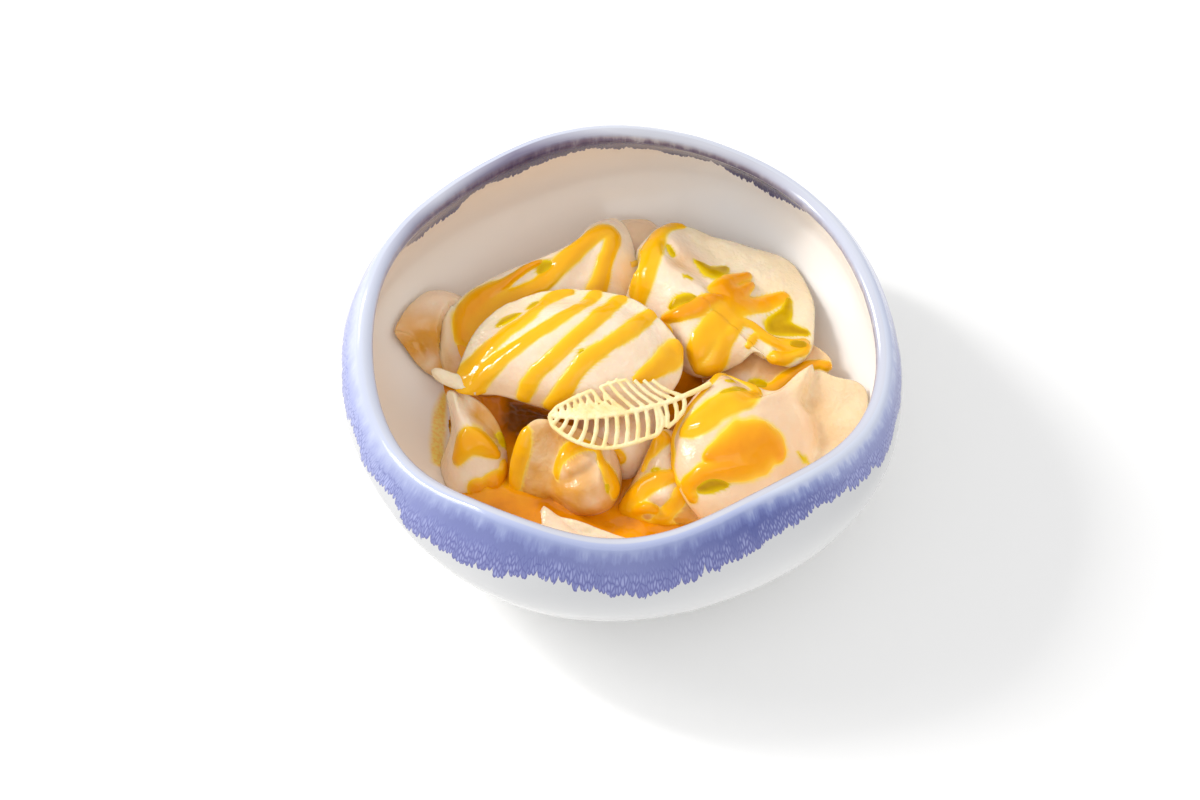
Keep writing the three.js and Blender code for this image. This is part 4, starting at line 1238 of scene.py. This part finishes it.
def glaze_material():
    """White glaze with a blue reactive band that breaks pale on the lip and has run down in drips."""
    material, tree, shader = new_material("glaze")
    place = object_place(tree)
    below, inside, reached = (attribute(tree, key) for key in ("below", "inside", "run"))
    # mm along the lip and mm down from it, drawn out so that runs are upright
    right, back = add(tree, "SeparateXYZ", None, (0, 1), Vector=place)
    arc = maths("ARCTAN2", right, back * -1.0) * ARC_RADIUS
    drawn = add(tree, "CombineXYZ", X=arc, Y=below * 0.31)
    flat = {"noise_dimensions": "2D"}
    streaks = add(tree, "TexNoise", flat, Vector=drawn, Scale=1.2)
    clouds = add(tree, "TexNoise", flat, Vector=drawn, Scale=0.28)
    # the lower edge of the band, in round drips about a millimetre wide
    line = {"voronoi_dimensions": "1D"}
    aside, drip = add(tree, "TexVoronoi", line, (0, 1), W=arc, Scale=0.8)
    block = add(tree, "TexVoronoi", line, 1, W=arc, Scale=0.17)
    length = (drip - 0.5) * 1.5 + (block - 0.5) * 4.0
    hollow = aside * aside * -3.0
    run = reached + (length + hollow) * between(reached, 3.0, 9.0)
    within = run - below
    band = between(within, -0.05, 0.2)
    share = maths("DIVIDE", below, run, clamp=True)
    # pale on the crest, then deepening down the band
    stir = (streaks - 0.5) * between(below, 0.8, 4.0)
    drift = (clouds - 0.5) * between(below, 0.3, 3.0)
    # the inner lip at the back deepens sooner here, partly as painted shade
    level = (below + stir * 4.0 + drift * 6.0 + attribute(tree, "early_and_shade")) / 14.0
    pale = ramp(level, [
        (0.0, 200, 205, 221), (0.15, 195, 202, 227), (0.35, 182, 189, 227), (0.6, 164, 171, 217),
        (1.0, 134, 140, 199),
    ])
    outer = ramp(level, [
        (0.0, 206, 213, 230), (0.06, 178, 187, 218), (0.14, 134, 146, 194), (0.26, 101, 112, 172),
        (0.42, 80, 89, 152), (0.7, 98, 105, 162), (1.0, 104, 108, 163),
    ])
    # the inner side's blue is painted darker and greyer than the outer, as the shade inside the lip
    inner = ramp(level, [
        (0.0, 197, 198, 208), (0.07, 168, 167, 182), (0.15, 122, 115, 140), (0.26, 94, 85, 117),
        (0.5, 66, 58, 94), (1.0, 60, 53, 90),
    ])
    body = mix(attribute(tree, "deep"), pale, mix(inside, outer, inner))
    # greyer and paler on the outer side of the lip's crest at the back, a painted highlight where the lip's
    # top catches the light
    crest = (1.0 - maths("MAXIMUM", inside, between(below, 0.0, 1.2))) * between(back, 0.0, 0.05)
    body = mix(crest * 0.6, body, colour(206, 207, 214))
    # upright strands in the lower half of the band, thicker in some places than in others
    cells = {"voronoi_dimensions": "2D", "feature": "DISTANCE_TO_EDGE"}
    strands = add(tree, "TexVoronoi", cells, Vector=drawn, Scale=1.2)
    low = between(share, 0.38, 0.72) * (1.0 - inside * 0.6)
    light = between(strands, 0.12, 0.36) * (low * between(clouds, 0.3, 0.6))
    body = mix(light * 0.46, body, colour(176, 183, 226))
    dark = (1.0 - between(strands, 0.0, 0.14)) * low
    body = mix(dark * 0.65, body, colour(84, 88, 150))
    edge = 1.0 - between(within, 0.1, 0.7)
    body = mix(edge * 0.75, body, colour(98, 94, 150))
    # the white inside with warm painted shade towards the lip, strongest at the back and the left
    inside_white_painted_shade = mix(attribute(tree, "painted_warm_shade"), colour(252, 250, 247), colour(246, 227, 205))
    # the outer white, painted darker just below the band as shade and lighter towards the foot
    outer_white_painted_shade = mix(between(below, 12.0, 40.0), colour(201, 202, 204), colour(238, 238, 237))
    # the film of oil on the left wall is a little frothy
    froth = between(grain(place, 900.0), 0.35, 0.6)
    oily = mix(froth, colour(255, 202, 56), colour(255, 226, 96))
    film = between(attribute(tree, "oiled"), 0.25, 0.8) * inside * 0.9
    base = mix(band, mix(film, mix(inside, outer_white_painted_shade, inside_white_painted_shade), oily), body)
    dress(shader, Base_Color=base, Roughness=0.14, Specular_IOR_Level=0.5)
    return material


def dough_material():
    """Boiled dough: clear and pale in the thin skirt, tan where it has soaked and where shade is painted,
    yellow beside the sauce.
    """
    material, tree, shader = new_material("dough")
    place = object_place(tree)
    thin = attribute(tree, "thin")
    patches, freckles = grain(place, 90.0), grain(place, 420.0)
    uneven = between(patches, 0.35, 0.7)
    belly = mix(uneven, colour(246, 218, 188), colour(248, 226, 201))
    skirt = mix(uneven, colour(245, 223, 187), colour(247, 228, 197))
    base = mix(thin, belly, skirt)
    base = mix(between(freckles, 0.55, 0.75) * 0.25, base, colour(252, 240, 220))
    # tan where the dough has soaked up sauce, and as painted shade low down, in crevices and on shaded
    # flanks
    base = mix(attribute(tree, "soaked_and_shade") * between(patches, 0.1, 0.6), base, colour(222, 160, 58))
    base = mix(attribute(tree, "stain"), base, colour(*SAUCE_THIN))
    base = mix(attribute(tree, "green"), base, colour(*OIL_THIN))
    dimples = between(grain(place, 620.0), 0.3, 0.7)
    relief = (grain(place, 230.0) + dimples * 0.3) * (1.0 + thin * 1.3)
    dress(shader, Base_Color=base, Roughness=0.09 + freckles * 0.2, Specular_IOR_Level=0.5,
          Subsurface_Weight=0.3, Subsurface_Radius=(1.0, 0.5, 0.25), Subsurface_Scale=0.003,
          Normal=bumps(relief, 0.3, 0.0008))
    return material


def liquid_material(name, tones, deepest, cloud_scale, shine):
    """A glossy liquid, coloured by how thick it stands."""
    material, tree, shader = new_material(name)
    place = object_place(tree)
    uneven = 0.7 + grain(place, cloud_scale) * 0.6
    depth = maths("DIVIDE", attribute(tree, "thick") * uneven, deepest, clamp=True)
    dress(shader, Base_Color=ramp(depth, tones), Roughness=0.09, Specular_IOR_Level=shine,
          Normal=bumps(grain(place, 190.0, 1.0), 0.6, 0.0009))
    return material


def wafer_material():
    material, tree, shader = new_material("wafer")
    place = object_place(tree)
    grit = grain(place, 1600.0, 3.0)
    base = mix(between(grain(place, 150.0), 0.35, 0.65), colour(247, 224, 158), colour(250, 236, 190))
    base = mix(between(grit, 0.5, 0.7) * 0.3, base, colour(238, 206, 124))
    dress(shader, Base_Color=base, Roughness=0.42, Normal=bumps(grit, 0.35, 0.0004),
          Subsurface_Weight=0.2, Subsurface_Radius=(1.0, 0.7, 0.3), Subsurface_Scale=0.001)
    return material


SAUCE_THIN = (253, 214, 88)
SAUCE_TONES = [
    (0.0, *SAUCE_THIN), (0.07, 248, 192, 28), (0.22, 244, 177, 7), (0.38, 243, 161, 3), (0.55, 236, 147, 2),
    (0.78, 210, 126, 1), (1.0, 140, 82, 0),
]
OIL_THIN = (231, 200, 34)
OIL_TONES = [(0.0, *OIL_THIN), (0.3, 221, 186, 1), (0.6, 198, 156, 0), (1.0, 158, 112, 0)]
DOUGH_MATERIAL = dough_material()
SAUCE_MATERIAL = liquid_material("sauce", SAUCE_TONES, deepest=3.6, cloud_scale=140.0, shine=0.32)
OIL_MATERIAL = liquid_material("herb_oil", OIL_TONES, deepest=0.7, cloud_scale=300.0, shine=0.14)


# ---- floor and light

TABLE_HALF = 3000
TABLE_DROP = 0.3
WORLD_LIGHT = 0.90
LIGHT_COLOUR = (1.0, 0.985, 0.96)
AIM_HEIGHT = 0.03
# Where each light comes from; how far off, wide and high it is, in metres; and its power.
LIGHTS = {
    "window": ((-0.80, 0.26, 0.55), 3.0, 1.2, 1.2, 27.0),
    "glint": ((-0.74, 0.34, 0.62), 2.5, 0.2, 0.6, 20.0),
    "fill": ((0.15, -0.75, 0.65), 3.0, 1.6, 1.6, 8.0),
}


def make_stage():
    half, z = TABLE_HALF, -TABLE_DROP
    corners = [(-half, -half, z), (half, -half, z), (half, half, z), (-half, half, z)]
    floor = link_mesh("floor", corners, [(0, 1, 2, 3)])
    material, _, shader = new_material("floor")
    dress(shader, Base_Color=(0.88, 0.88, 0.88, 1), Roughness=0.7)
    floor.data.materials.append(material)
    world = bpy.data.worlds.new("studio")
    world.use_nodes = True
    dress(world.node_tree.nodes["Background"], Color=(1, 1, 1, 1), Strength=WORLD_LIGHT)
    bpy.context.scene.world = world
    for name, light in LIGHTS.items():
        add_light(name, *light)


def add_light(name, direction, distance, width, height, power):
    data = bpy.data.lights.new(name, "AREA")
    data.shape = "RECTANGLE"
    data.size = width
    data.size_y = height
    data.energy = power
    data.color = LIGHT_COLOUR
    light = bpy.data.objects.new(name, data)
    aim = Vector(direction).normalized()
    light.location = aim * distance + Vector((0, 0, AIM_HEIGHT))
    light.rotation_euler = aim.to_track_quat("Z", "Y").to_euler()
    bpy.context.scene.collection.objects.link(light)


# ---- the whole

bpy.context.scene.view_settings.view_transform = "Standard"

make_camera()
make_stage()
bowl_points, bowl_faces, bowl = make_bowl()

all_points, all_faces = np.zeros((0, 3)), []
for seed, name in enumerate(DUMPLINGS):
    placed = bvh_of(all_points, all_faces) if all_faces else None
    thing, points, faces = make_dumpling(name, seed, placed)
    dress_dumpling(thing, name, points, faces, seed)
    start = len(all_points)
    all_points = np.vstack([all_points, points])
    all_faces += [tuple(v + start for v in f) for f in faces]
make_tongue()
make_pool(bvh_of(all_points, all_faces))
oil_wall(bowl_points, bowl_faces, bowl)
make_leaf()

bpy.context.view_layer.update()
